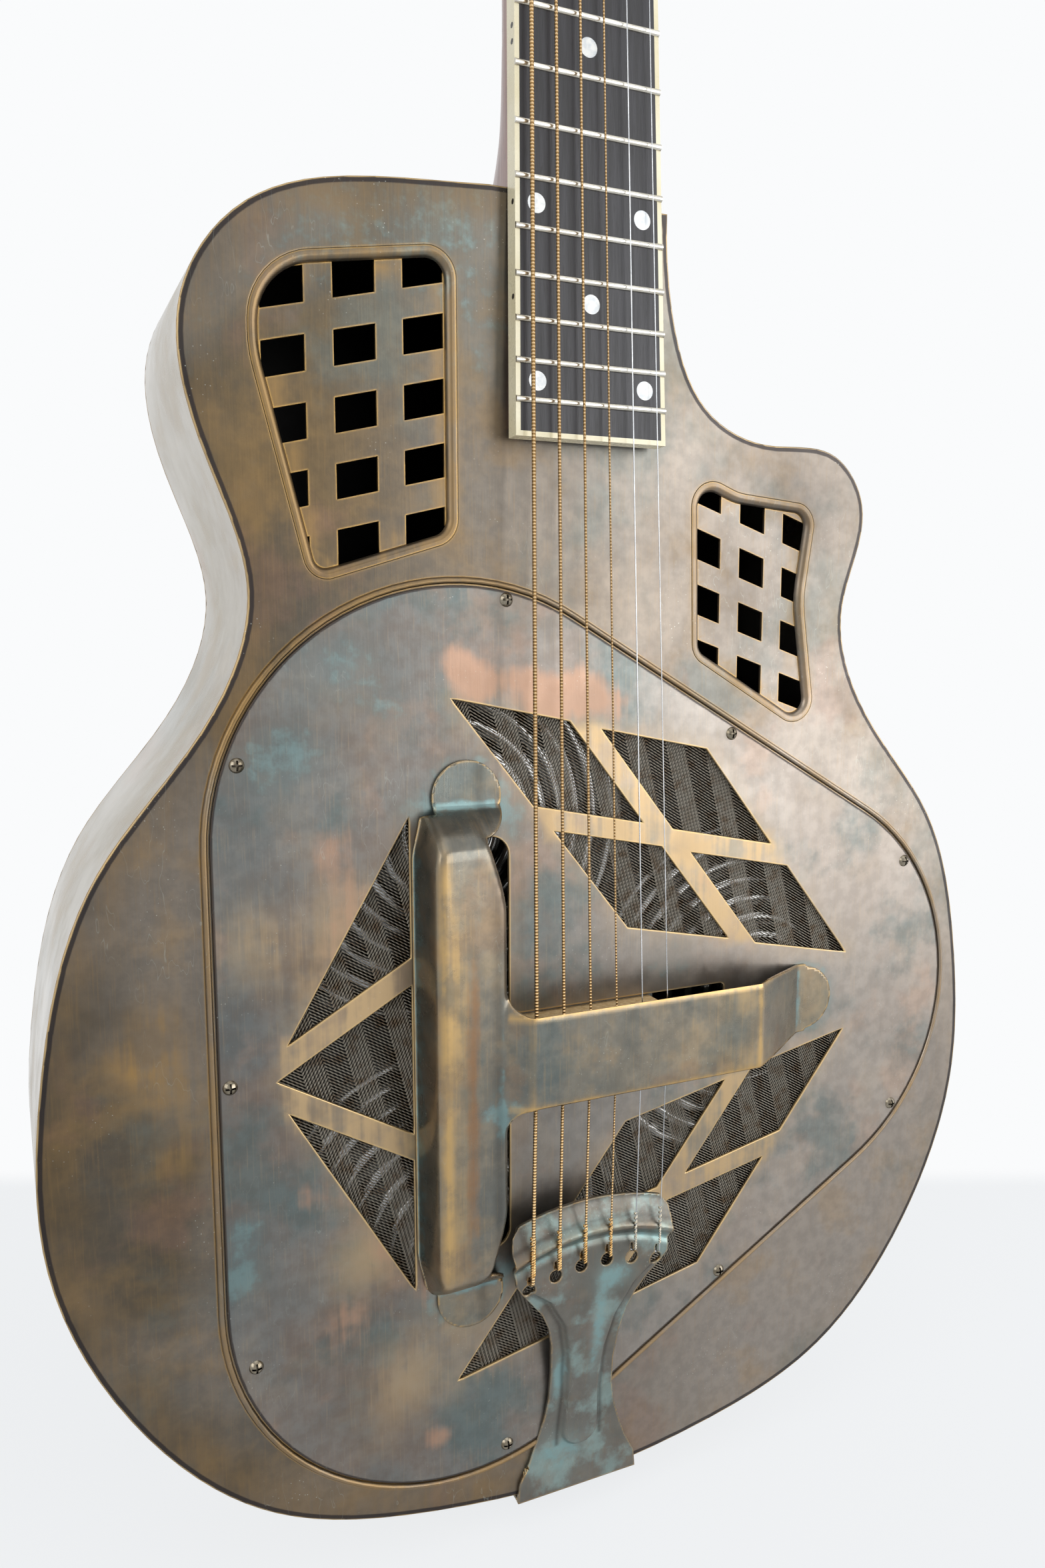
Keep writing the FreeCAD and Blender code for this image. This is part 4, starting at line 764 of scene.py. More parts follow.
class Plating(Enum):
    """Plain finishes by the part they dress."""

    NICKEL = PlainFinish("nickel_plate", "#c9c2b4", "#b3a995", 0.22, 1.0, 8.0, 0.02)
    # Screws take painted shade in their cross slots.
    SCREW = PlainFinish("nickel_screw_plate", "#8f8778", "#6f6656", 0.22, 1.0, 3.0, 0.02, recess_shade_mm=1.6)
    FRET = PlainFinish("nickel_silver_wire", "#d4d1c8", "#bdb8ac", 0.22, 1.0, 10.0, 0.02)
    STRING = PlainFinish("drawn_steel_wire", "#d0d2d4", "#b5b8bb", 0.25, 1.0, 10.0, 0.01)
    CAST = PlainFinish("cast_aluminium", "#9b9b99", "#84847f", 0.5, 0.9, 4.0, 0.1)
    # The soundwell is dressed near-black: painted shade for the dark inside of the body seen through the
    # grilles.
    WELL = PlainFinish("soundwell_painted_shade", "#0f0f10", "#1a1919", 0.6, 0.0, 20.0, 0.1)
    BINDING = PlainFinish("cream_celluloid_binding", "#ece4c6", "#e2d8b4", 0.28, 0.0, 25.0, 0.02, 0.3)
    PEARL = PlainFinish("pearl_dot", "#f2f3f0", "#d2d8dc", 0.16, 0.0, 3.0, 0.01, 0.5)
    SIDE_DOT = PlainFinish("black_side_dot", "#141312", "#1d1b1a", 0.3, 0.0, 4.0, 0.01)
    BONE = PlainFinish("bone_nut", "#e8e0cb", "#d9cfb5", 0.38, 0.0, 5.0, 0.03)
    COVER = PlainFinish("black_celluloid_cover", "#121213", "#1b1b1c", 0.18, 0.0, 20.0, 0.02, 0.4)
    ROD = PlainFinish("plain_steel_rod", "#7d7d7c", "#6c6a68", 0.4, 1.0, 6.0, 0.05)

    def build(self) -> bpy.types.Material:
        """Make the material."""
        return self.value.build()


EBONY = Timber("oiled_ebony", "#26252a", "#1b1a1d", "#0d0c0d", 0.42)
MAHOGANY = Timber("lacquered_mahogany", "#8c5f52", "#744a3f", "#46291f", 0.32, coat=0.4)
BARE_MAHOGANY = Timber("bare_mahogany", "#94694c", "#7d553c", "#5a3a28", 0.6)
MAPLE = Timber("oiled_maple", "#d3b98c", "#c0a173", "#9c7c52", 0.5)
VENEER = Timber("dark_head_veneer", "#1f1d1e", "#171516", "#0b0a0a", 0.25, coat=0.6)


# ---------------------------------------------------------------- shaping helpers

FACE_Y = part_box("top_plate")[1].y - 1.2 * MM - 2.0 * MM
COVER_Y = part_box("coverplate")[0].y
AXIS_Z = (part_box("cone_treble")[0].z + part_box("cone_treble")[1].z) / 2
REST_FEET = ((-44.7, 91.9), (-44.7, -91.9), (102.7, 0.0))
STRINGS = range(1, 7)
Outline = np.ndarray


def free_copy(node: str) -> bmesh.types.BMesh:
    """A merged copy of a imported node's mesh."""
    shape = bmesh.new()
    shape.from_mesh(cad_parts[node].data)
    bmesh.ops.remove_doubles(shape, verts=shape.verts, dist=0.01 * MM)
    shape.normal_update()
    return shape


def front_outlines(node: str, depth: float) -> list[Outline]:
    """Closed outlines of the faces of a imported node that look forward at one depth.

    Args:
        node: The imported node's name.
        depth: The faces' Y, in metres.

    Returns:
        Each outline as an array of X and Z in metres, widest first.
    """
    shape = free_copy(node)
    flat = {
        face
        for face in shape.faces
        if face.normal.y < -0.99 and abs(face.calc_center_median().y - depth) < 0.05 * MM
    }
    rim = [edge for edge in shape.edges if sum(face in flat for face in edge.link_faces) == 1]
    unused = set(rim)
    beside: dict[bmesh.types.BMVert, list[bmesh.types.BMEdge]] = {}
    for edge in rim:
        for vertex in edge.verts:
            beside.setdefault(vertex, []).append(edge)
    found = []
    while unused:
        edge = unused.pop()
        start, here = edge.verts
        path = [start]
        while here is not start:
            path.append(here)
            following = next((other for other in beside[here] if other in unused), None)
            if following is None:
                break
            unused.discard(following)
            here = following.other_vert(here)
        found.append(np.array([(vertex.co.x, vertex.co.z) for vertex in path]))
    shape.free()
    return sorted(found, key=lambda path: -float(np.prod(np.ptp(path, axis=0))))


def simplified(path: Outline) -> Outline:
    """An outline turned counter-clockwise, without points nearer than a twentieth of a millimetre."""
    kept = [path[0]]
    for point in path[1:]:
        if np.linalg.norm(point - kept[-1]) > 0.05 * MM:
            kept.append(point)
    if np.linalg.norm(kept[0] - kept[-1]) <= 0.05 * MM:
        kept.pop()
    tidy = np.array(kept)
    following = np.roll(tidy, -1, axis=0)
    area = float(np.sum(tidy[:, 0] * following[:, 1] - following[:, 0] * tidy[:, 1]))
    return tidy if area > 0 else tidy[::-1]


def grown(path: Outline, distance: float) -> Outline:
    """Move a counter-clockwise outline outwards.

    Args:
        path: The outline.
        distance: How far, in metres; negative moves it inwards.

    Returns:
        The moved outline, point for point.
    """
    ahead = np.roll(path, -1, axis=0) - path
    ahead /= np.linalg.norm(ahead, axis=1)[:, None]
    normals = np.stack([ahead[:, 1], -ahead[:, 0]], axis=1)
    mean = normals + np.roll(normals, 1, axis=0)
    mean /= np.linalg.norm(mean, axis=1)[:, None]
    stretch = 1 / np.clip(np.sum(mean * normals, axis=1), 0.6, 1.0)
    return path + mean * (stretch * distance)[:, None]


def dense(path: Outline, step: float = 1.0 * MM) -> Outline:
    """Points along an outline no further apart than a step."""
    pieces = []
    for start, end in zip(path, np.roll(path, -1, axis=0)):
        count = max(1, int(math.ceil(float(np.linalg.norm(end - start)) / step)))
        pieces.append(start + (end - start) * (np.arange(count) / count)[:, None])
    return np.concatenate(pieces)


def tree_of(paths: Iterable[Outline], up_from: float = 0.0) -> KDTree:
    """A lookup of the nearest point on some outlines.

    Args:
        paths: The outlines, in metres.
        up_from: The height that counts as 0, in metres.

    Returns:
        The lookup, in millimetres.
    """
    points = np.concatenate([dense(path) for path in paths])
    lookup = KDTree(len(points))
    for number, (x, z) in enumerate(points):
        lookup.insert((x / MM, 0.0, (z - up_from) / MM), number)
    lookup.balance()
    return lookup


def away(lookup: KDTree, across: float, up: float) -> float:
    """Distance in millimetres from a point of the face to the nearest outline."""
    return lookup.find((across, 0.0, up))[2]


def fade(distance: float, reach: float) -> float:
    """1 at nothing, falling to almost 0 at twice the reach."""
    return math.exp(-((distance / reach) ** 2))


Spot = tuple[float, float, float, float]


def spotted(spots: Iterable[Spot], across: float, up: float) -> float:
    """Add up round soft spots at a point.

    Args:
        spots: Each spot's place across and up, its reach and its strength, in millimetres.
        across: The point's place across.
        up: The point's place up.

    Returns:
        The sum of the spots' strengths there.
    """
    return sum(strength * fade(math.hypot(across - x, up - z), reach) for x, z, reach, strength in spots)


def flat_plate(
    name: str, outlines: Iterable[Outline], front: float, thickness: float, rounding: float
) -> bmesh.types.BMesh:
    """A sheet with holes and rounded edges, from a filled and bevelled curve.

    Args:
        name: A name for the curve.
        outlines: The outer outline and its holes.
        front: Y of the front surface.
        thickness: The sheet's thickness.
        rounding: Radius of its edges.

    Returns:
        The sheet in the guitar's frame.
    """
    curve = bpy.data.curves.new(name, "CURVE")
    curve.dimensions = "2D"
    curve.fill_mode = "BOTH"
    curve.extrude = thickness / 2 - rounding
    curve.bevel_depth = rounding
    curve.bevel_resolution = 2
    curve.offset = -rounding
    for path in outlines:
        spline = curve.splines.new("POLY")
        spline.points.add(len(path) - 1)
        for point, (x, z) in zip(spline.points, path):
            point.co = (x, z, 0.0, 1.0)
        spline.use_cyclic_u = True
    holder = bpy.data.objects.new(name, curve)
    mesh = bpy.data.meshes.new_from_object(holder)
    bpy.data.objects.remove(holder)
    bpy.data.curves.remove(curve)
    shape = bmesh.new()
    shape.from_mesh(mesh)
    bpy.data.meshes.remove(mesh)
    bmesh.ops.rotate(shape, verts=shape.verts, cent=(0, 0, 0), matrix=Matrix.Rotation(math.pi / 2, 3, "X"))
    bmesh.ops.translate(shape, verts=shape.verts, vec=(0.0, front + thickness / 2, 0.0))
    bmesh.ops.remove_doubles(shape, verts=shape.verts, dist=0.005 * MM)
    bmesh.ops.recalc_face_normals(shape, faces=shape.faces)
    return shape


def crosshatch(shape: bmesh.types.BMesh, step_mm: float) -> None:
    """Cut a sheet on a square grid, so that stains have points to hold them.

    Args:
        shape: The sheet.
        step_mm: The grid's spacing.
    """
    places = np.array([vertex.co for vertex in shape.verts])
    for axis, direction in ((0, (1, 0, 0)), (2, (0, 0, 1))):
        for place in np.arange(places[:, axis].min() + step_mm * MM, places[:, axis].max(), step_mm * MM):
            point = [0.0, 0.0, 0.0]
            point[axis] = float(place)
            every = shape.verts[:] + shape.edges[:] + shape.faces[:]
            bmesh.ops.bisect_plane(shape, geom=every, dist=0.002 * MM, plane_co=point, plane_no=direction)


def swept_ring(path: Outline, steps: Iterable[tuple[float, float]], front: float) -> bmesh.types.BMesh:
    """A strip along a closed outline, from a row of offsets and depths.

    Args:
        path: Counter-clockwise outline.
        steps: Pairs of millimetres: outwards from the outline and back from the front.
        front: Y of the front.

    Returns:
        The strip.
    """
    shape = bmesh.new()
    rows = []
    for outwards, depth in steps:
        moved = grown(path, outwards * MM)
        row = [shape.verts.new((x, front + depth * MM, z)) for x, z in moved]
        rows.append([shape.edges.new(pair) for pair in zip(row, row[1:] + row[:1])])
    for first, second in zip(rows, rows[1:]):
        bmesh.ops.bridge_loops(shape, edges=first + second)
    bmesh.ops.recalc_face_normals(shape, faces=shape.faces)
    return shape


Stain = Callable[[float, float, float], float]


def named(*stains: Stain) -> dict[str, Stain]:
    """Stains by the attributes that they paint."""
    return {stain.__name__: stain for stain in stains}


@dataclass
class Piece:
    """One finished mesh that rides on a body of the guitar.

    A stain is a function of millimetres across, up from up_from, and out from the face; it gives 0 to 1, or a
    distance.
    """

    name: str
    shape: bmesh.types.BMesh
    slot: str
    material: bpy.types.Material
    stands_for: tuple[str, ...] = ()
    body: str = ROOT
    flats: bool = True
    stains: dict[str, Stain] = field(default_factory=dict)
    up_from: float = 0.0

    def build(self) -> bpy.types.Object:
        """Make the object, dress it and seat it on its body."""
        mesh = bpy.data.meshes.new(self.name)
        self.shape.to_mesh(mesh)
        self.shape.free()
        for polygon in mesh.polygons:
            polygon.use_smooth = not (self.flats and abs(polygon.normal.y) > 0.9995)
        places = np.empty(len(mesh.vertices) * 3, np.float32)
        mesh.vertices.foreach_get("co", places)
        x, y, z = places.reshape(-1, 3).astype(float).T
        spread = np.column_stack((x, z - self.up_from, FACE_Y - y)) / MM
        for stain, rule in self.stains.items():
            values = [rule(*place) for place in spread.tolist()]
            data = mesh.attributes.new(stain, "FLOAT", "POINT").data
            data.foreach_set("value", np.array(values, np.float32))
        item = bpy.data.objects.new(self.name, mesh)
        bpy.context.scene.collection.objects.link(item)
        mesh.materials.append(self.material)
        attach(item, self.body)
        if self.stands_for:
            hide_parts(*self.stands_for)
        log.info("made %s: %d faces", self.name, len(mesh.polygons))
        return item


def joined(shapes: Iterable[bmesh.types.BMesh]) -> bmesh.types.BMesh:
    """Put several meshes into one."""
    whole = bmesh.new()
    for shape in shapes:
        mesh = bpy.data.meshes.new("part")
        shape.to_mesh(mesh)
        shape.free()
        whole.from_mesh(mesh)
        bpy.data.meshes.remove(mesh)
    return whole


Field = Callable[[np.ndarray, np.ndarray], np.ndarray]


def rise(value: np.ndarray | float, low: float, high: float) -> np.ndarray:
    """Smooth step from 0 at low to 1 at high."""
    share = np.clip((value - low) / (high - low), 0.0, 1.0)
    return share * share * (3 - 2 * share)


def soft_union(first: np.ndarray, second: np.ndarray, blend: float) -> np.ndarray:
    """Join two inside-distances with a fillet.

    Args:
        first: Distance inside one shape, in millimetres.
        second: Distance inside the other.
        blend: Size of the fillet.

    Returns:
        Distance inside the two together.
    """
    share = np.clip(0.5 + 0.5 * (first - second) / blend, 0.0, 1.0)
    return second + (first - second) * share + blend * share * (1 - share)


def pressed_sheet(
    lines_x: np.ndarray, lines_z: np.ndarray, inside: Field, height: Field, thickness_mm: float
) -> bmesh.types.BMesh:
    """A sheet pressed to a shape over the face.

    Args:
        lines_x: Where the grid's upright lines stand, in millimetres.
        lines_z: Where its level lines lie, in millimetres from the tail.
        inside: Distance inside the sheet's outline.
        height: Height of its top surface over the face.
        thickness_mm: The sheet's thickness.

    Returns:
        The sheet in the guitar's frame.
    """
    shape = bmesh.new()
    bmesh.ops.create_grid(shape, x_segments=len(lines_x) - 1, y_segments=len(lines_z) - 1, size=0.5)
    start = np.array([vertex.co for vertex in shape.verts])
    x = np.interp((start[:, 0] + 0.5) * (len(lines_x) - 1), np.arange(len(lines_x)), lines_x)
    z = np.interp((start[:, 1] + 0.5) * (len(lines_z) - 1), np.arange(len(lines_z)), lines_z)
    depth = inside(x, z)
    within = depth > 0
    outside = [face for face in shape.faces if not any(within[vertex.index] for vertex in face.verts)]
    for _ in range(4):
        across = (inside(x + 0.05, z) - inside(x - 0.05, z)) / 0.1
        along = (inside(x, z + 0.05) - inside(x, z - 0.05)) / 0.1
        length = np.maximum(across**2 + along**2, 0.05)
        shift = np.where(within, 0.0, np.clip(inside(x, z), -0.6, 0.6)) / length
        shift = np.clip(shift, -0.6, 0.6)
        x = x - shift * across
        z = z - shift * along
    top = height(x, z)
    for vertex in shape.verts:
        here = vertex.index
        vertex.co = (x[here] * MM, FACE_Y - top[here] * MM, z[here] * MM)
    bmesh.ops.delete(shape, geom=outside, context="FACES")
    bmesh.ops.recalc_face_normals(shape, faces=shape.faces)
    shape.normal_update()
    if sum(face.normal.y for face in shape.faces) > 0:
        bmesh.ops.reverse_faces(shape, faces=shape.faces)
    every = shape.faces[:] + shape.edges[:] + shape.verts[:]
    bmesh.ops.solidify(shape, geom=every, thickness=thickness_mm * MM)
    bmesh.ops.recalc_face_normals(shape, faces=shape.faces)
    return shape


# ---------------------------------------------------------------- body sheet


@dataclass
class TopPlate:
    """Front sheet: two pressed grilles, a rolled bead round the coverplate and a rounded rim."""

    sheet_mm: float = 1.2
    pan_mm: float = 2.0
    grid_mm: float = 5.0
    ring_reach: tuple[float, float] = (0.28, 0.36)
    frame_reach: tuple[float, float] = (0.06, 0.14)
    small_reach: tuple[float, float] = (0.0, 0.01)
    lip_steps: tuple[tuple[float, float], ...] = (
        (3.4, 0.0),
        (2.7, -0.12),
        (2.0, -0.10),
        (1.3, 0.15),
        (0.7, 0.6),
        (0.3, 1.2),
        (0.0, 2.05),
    )
    bead_steps: tuple[tuple[float, float], ...] = (
        (0.0, 0.02),
        (-0.25, -0.7),
        (-0.7, -1.3),
        (-1.3, -1.55),
        (-1.8, -1.35),
        (-2.2, -0.8),
        (-2.4, 0.02),
    )
    green: tuple[Spot, ...] = (
        (-48.0, 462.0, 26.0, 0.40),
        (-92.0, 455.0, 24.0, 0.34),
        (-130.0, 425.0, 22.0, 0.26),
        (-36.0, 425.0, 18.0, 0.26),
        (-128.0, 385.0, 12.0, 0.22),
        (-52.0, 375.0, 6.0, 0.30),
    )
    worn: tuple[Spot, ...] = (
        (-150.0, 206.0, 9.0, 0.75),
        (-148.0, 187.0, 12.0, 0.75),
        (-147.0, 165.0, 8.0, 0.75),
        (-158.0, 196.0, 7.0, 0.75),
    )
    # Painted shade that dulls the treble horn.
    dull: tuple[Spot, ...] = ((101.0, 383.0, 36.0, 0.48), (70.0, 347.0, 34.0, 0.34))

    def build(self) -> None:
        """Make the sheet, its grilles and its bead."""
        outlines = [simplified(path) for path in front_outlines("top_plate", FACE_Y)]
        outer = outlines[0]
        rings, frames, small = (
            [path for path in outlines if low < np.ptp(path, axis=0).max() < high]
            for low, high in (self.ring_reach, self.frame_reach, self.small_reach)
        )
        mouth = rings[-1]
        log.info("top plate outlines: %d rings, %d frames, %d small", len(rings), len(frames), len(small))
        lips = [grown(path, self.lip_steps[0][0] * MM) for path in frames]
        sheet = flat_plate("sheet", [outer, mouth, *lips, *small], FACE_Y, self.sheet_mm * MM, 0.45 * MM)
        crosshatch(sheet, self.grid_mm)
        shapes = [sheet]
        for path in frames:
            shapes.append(swept_ring(path, self.lip_steps, FACE_Y))
        floor_y = FACE_Y + self.pan_mm * MM
        windows = [simplified(path) for path in front_outlines("top_plate", floor_y)]
        for path in frames:
            low, high = path.min(axis=0) - 0.6 * MM, path.max(axis=0) + 0.6 * MM
            own = [
                hole
                for hole in windows
                if (hole.min(axis=0) > low).all() and (hole.max(axis=0) < high).all()
            ]
            pan = flat_plate("pan", own, floor_y, self.sheet_mm * MM, 0.12 * MM)
            crosshatch(pan, self.grid_mm)
            shapes.append(pan)
        shapes.append(swept_ring(rings[0], self.bead_steps, FACE_Y))
        rim = tree_of([outer])
        framed = tree_of(frames)

        def rubbed(across: float, up: float, out: float) -> float:
            """Gold towards the rim, on the grilles' lips, on the bead and where a hand has worn it."""
            wide = fade(away(rim, across, up) - 5.0, 8.0) * (0.30 if across < 0 else 0.10)
            bead = 0.5 * float(rise(out, 0.3, 0.9))
            lip = 0.6 * fade(away(framed, across, up) - 1.8, 1.8)
            return min(1.0, wide + bead + spotted(self.worn, across, up) + lip)

        def shadowed(across: float, up: float, out: float) -> float:
            """Painted shade along the bass rim and on the treble horn."""
            dull = max(spotted([spot], across, up) for spot in self.dull)
            return dull + (0.22 * fade(away(rim, across, up), 12.0) if across < 0 else 0.0)

        def verdigris(across: float, up: float, out: float) -> float:
            """Blue-green left beside the neck and on the bass shoulder."""
            return spotted(self.green, across, up)

        def rim_mm(across: float, up: float, out: float) -> float:
            """Distance from the rim."""
            return away(rim, across, up)

        stains = named(rubbed, shadowed, verdigris, rim_mm) | {"edge_mm": rim_mm}
        brass = BODY_BRASS.build()
        Piece("top_sheet", joined(shapes), "body_metal", brass, ("top_plate",), stains=stains).build()


@dataclass
class Coverplate:
    """Stamped coverplate with copper patches and rubbed bars between its windows."""

    sheet_mm: float = 1.2
    grid_mm: float = 4.0
    bar_mm: float = 9.5
    foot_ring: float = 13.6
    window_min: float = 0.02
    copper: tuple[Spot, ...] = (
        (-48.0, 139.0, 7.0, 0.8),
        (-40.0, 131.0, 9.0, 1.0),
        (-22.0, 133.0, 6.0, 0.6),
        (-14.0, 124.0, 10.0, 1.0),
        (0.0, 128.0, 10.0, 0.9),
        (14.0, 122.0, 9.0, 0.5),
        (-58.0, -146.0, 6.0, 0.9),
        (-104.0, -42.0, 6.0, 0.5),
        (95.0, 44.0, 10.0, 0.45),
        (54.0, 53.0, 9.0, 0.45),
        (74.0, -46.0, 12.0, 0.4),
        (-89.0, 75.0, 12.0, 0.5),
        (-84.0, 55.0, 12.0, 0.5),
        (-95.0, 37.0, 12.0, 0.4),
        (-87.0, -41.0, 12.0, 0.45),
        (-71.0, -65.0, 12.0, 0.7),
        (-61.0, -87.0, 10.0, 0.6),
        (-36.0, -122.0, 13.0, 0.45),
        (-92.0, -92.0, 14.0, 0.45),
        (120.0, -20.0, 12.0, 0.35),
    )
    green: tuple[Spot, ...] = (
        (-127.0, -66.0, 8.0, 0.8),
        (-29.0, 84.0, 9.0, 0.6),
        (-86.0, 137.0, 14.0, 0.45),
        (-104.0, 112.0, 10.0, 0.45),
        (-115.0, 105.0, 14.0, 0.4),
        (38.0, 20.0, 12.0, 0.4),
        (-31.0, -88.0, 7.0, 0.5),
        (-70.0, 120.0, 10.0, 0.4),
        (20.0, -12.0, 8.0, 0.3),
        (-18.0, 105.0, 9.0, 0.55),
        (-7.0, 97.0, 8.0, 0.45),
        (-125.0, -50.0, 6.0, 0.8),
        (-62.0, 88.0, 7.0, 0.6),
        (-60.0, -92.0, 6.0, 0.5),
    )
    gold: tuple[Spot, ...] = (
        (-88.0, 57.0, 13.0, 0.4),
        (-99.0, 37.0, 14.0, 0.4),
        (-117.0, 49.0, 12.0, 0.5),
        (-80.0, 22.0, 10.0, 0.5),
        (-84.0, -70.0, 12.0, 0.6),
        (-70.0, -120.0, 16.0, 0.5),
        (-50.0, -100.0, 12.0, 0.4),
    )

    def build(self) -> None:
        """Make the coverplate."""
        outlines = [simplified(path) for path in front_outlines("coverplate", COVER_Y)]
        plate = flat_plate("cover", outlines, COVER_Y, self.sheet_mm * MM, 0.35 * MM)
        crosshatch(plate, self.grid_mm)
        rim = tree_of(outlines[:1], AXIS_Z)
        wide = [path for path in outlines[1:] if np.ptp(path, axis=0).max() > self.window_min]
        windows = [tree_of([path], AXIS_Z) for path in wide]

        def rubbed(across: float, up: float, out: float) -> float:
            """Gold on the bars between windows, beside the windows and in listed spots."""
            near = sorted(away(window, across, up) for window in windows)[:2]
            bars = 0.85 * fade(max(sum(near) - self.bar_mm, 0.0), 2.5) + 0.2 * fade(near[0], 5.0)
            return min(1.0, bars + spotted(self.gold, across, up))

        def edge_mm(across: float, up: float, out: float) -> float:
            """Distance from the nearest window."""
            return min(away(window, across, up) for window in windows)

        def rim_mm(across: float, up: float, out: float) -> float:
            """Distance from the rim."""
            return away(rim, across, up)

        def verdigris(across: float, up: float, out: float) -> float:
            """Blue-green round the handrest's feet and in listed spots."""
            reaches = (math.hypot(across - x, up - z) - self.foot_ring for x, z in REST_FEET)
            rings = sum(0.5 * fade(reach, 2.2) for reach in reaches)
            return min(1.0, rings + spotted(self.green, across, up))

        def flushed(across: float, up: float, out: float) -> float:
            """Bare copper patches."""
            return min(1.0, spotted(self.copper, across, up))

        stains = named(rubbed, verdigris, flushed, edge_mm, rim_mm)
        brass = COVER_BRASS.build()
        at_axis = {"stains": stains, "up_from": AXIS_Z}
        Piece("cover_sheet", plate, "cover_metal", brass, ("coverplate",), **at_axis).build()


@dataclass
class Handrest:
    """Pressed T over the strings: a ridged bar, a strap across and three round feet."""

    sheet_mm: float = 1.2
    foot_mm: float = 2.4
    bar_left: float = -65.0
    bar_right: float = -36.0
    bar_half: float = 87.0
    bar_end: float = 88.5
    end_mm: float = 15.0
    bar_section: tuple[tuple[float, float], ...] = (
        (0.0, 2.4),
        (0.5, 2.5),
        (0.8, 4.0),
        (1.3, 11.0),
        (1.8, 16.0),
        (2.5, 18.6),
        (3.5, 19.9),
        (4.9, 20.4),
        (6.5, 20.3),
        (13.0, 19.5),
        (20.0, 18.9),
        (25.0, 18.5),
        (29.0, 18.3),
    )
    strap_top: float = 23.1
    strap_half: float = 16.5
    bend: float = 66.6
    ramp_end: float = 99.0
    foot_radius: float = 12.8
    strap_foot: float = REST_FEET[2][0]

    def sides(self, up: np.ndarray) -> tuple[np.ndarray, np.ndarray]:
        """Left and right edge of the bar at heights from its middle; it narrows towards its feet."""
        away_from_middle = np.abs(up)
        left = self.bar_left + 3.0 * rise(away_from_middle, 70.0, 88.0)
        right = self.bar_right - 8.5 * rise(away_from_middle, 52.0, 90.0)
        return left, right

    def inside(self, x: np.ndarray, z: np.ndarray) -> np.ndarray:
        """Distance inside the outline, with fillets where the strap leaves the bar."""
        up = z - AXIS_Z / MM
        left, right = self.sides(up)
        bar = -soft_union(-np.minimum(x - left, right - x), np.abs(up) - self.bar_half, 3.0)
        taper = self.strap_half - 2.5 * rise(x, self.bend, self.ramp_end + 6.0)
        strap = np.minimum(taper - np.abs(up), np.minimum(x + 45.0, self.strap_foot - x))
        whole = soft_union(bar, strap, 9.0)
        for (foot_x, foot_up), blend in zip(REST_FEET, (1.0, 1.0, 1.5)):
            whole = soft_union(whole, self.foot_radius - np.hypot(x - foot_x, up - foot_up), blend)
        return whole

    def height(self, x: np.ndarray, z: np.ndarray) -> np.ndarray:
        """Height of the top surface over the face."""
        up = np.abs(z - AXIS_Z / MM)
        left, right = self.sides(up)
        places, heights = zip(*self.bar_section)
        section = np.interp(x - left, places, heights)
        lip = np.interp(right - x, (0.0, 0.8, 2.4), (2.1, 0.7, 0.0)) * rise(up, 17.0, 22.0)
        share = np.clip((self.bar_end - up) / self.end_mm, 0.0, 1.0)
        bar = self.foot_mm + (section - lip - self.foot_mm) * np.sin(share * np.pi / 2) ** 0.9
        climb = 18.25 + (self.strap_top - 18.25) * rise(x, -37.5, -28.5)
        drop = np.clip((x - self.bend) / (self.ramp_end - self.bend), 0, 1)
        strap = climb - (self.strap_top - self.foot_mm) * drop
        edge = np.clip(self.strap_half + 0.3 - up, 0.0, 1.5) / 1.5
        strap = strap - 0.5 * (1 - edge) ** 2 * rise(x, -30.0, -24.0)
        blend = rise(x, -38.2, -36.0) * (1 - rise(up, 19.0, 26.0))
        return np.maximum(bar * (1 - blend) + strap * blend, self.foot_mm)

    def build(self) -> None:
        """Make the handrest."""
        wall = np.arange(self.bar_left - 0.6, -61.0, 0.35)
        lines_x = np.concatenate([wall, np.arange(-61.0, self.strap_foot + 14.0, 1.2)])
        centre = AXIS_Z / MM
        lines_z = np.arange(centre - 106.0, centre + 106.5, 1.2)
        shape = pressed_sheet(lines_x, lines_z, self.inside, self.height, self.sheet_mm)

        def rubbed(across: float, up: float, out: float) -> float:
            """Gold along the ridge, the strap's edges and its bend: wear, and painted highlight where light
            catches the crest and the bends.
            """
            if across < self.bar_right:
                ridge = 0.9 * fade(across + 59.8, 2.2) * (1.0 - 0.8 * float(rise(abs(up), 66.0, 82.0)))
                # The broad band on the crest is painted highlight.
                band = 0.80 * fade(across + 55.5, 4.5) * fade(up - 26.0, 34.0)
                low = 0.45 * fade(across + 55.5, 4.0) * fade(up + 48.0, 34.0)
                return min(1.0, ridge + band + low)
            bend = 0.95 * fade(across - self.bend, 1.6)
            rims = 0.85 * fade(abs(up) - self.strap_half, 1.3)
            near_bend = 0.5 * fade(across - self.bend + 7.0, 14.0) * fade(abs(up) - self.strap_half, 12.0)
            crease = 0.45 * fade(across + 29.0, 1.0)
            return min(1.0, bend + rims + near_bend + crease) if across < self.ramp_end else 0.2

        def verdigris(across: float, up: float, out: float) -> float:
            """Blue-green in the creases of the feet and down the outer wall."""
            feet = 0.8 * fade(abs(up) - 89.0, 2.0) * (across < -34)
            far = 0.75 * fade(across - self.ramp_end, 1.5) * (abs(up) < 12)
            wall_side = 0.6 * fade(across + 64.4, 0.7)
            right = 0.35 * fade(across + 38.5, 1.2) * fade(abs(up) - 8.0, 22.0)
            corner = 0.6 * fade(math.hypot(across + 39.0, up + 18.0), 9.0)
            return min(1.0, feet + far + wall_side + right + corner)

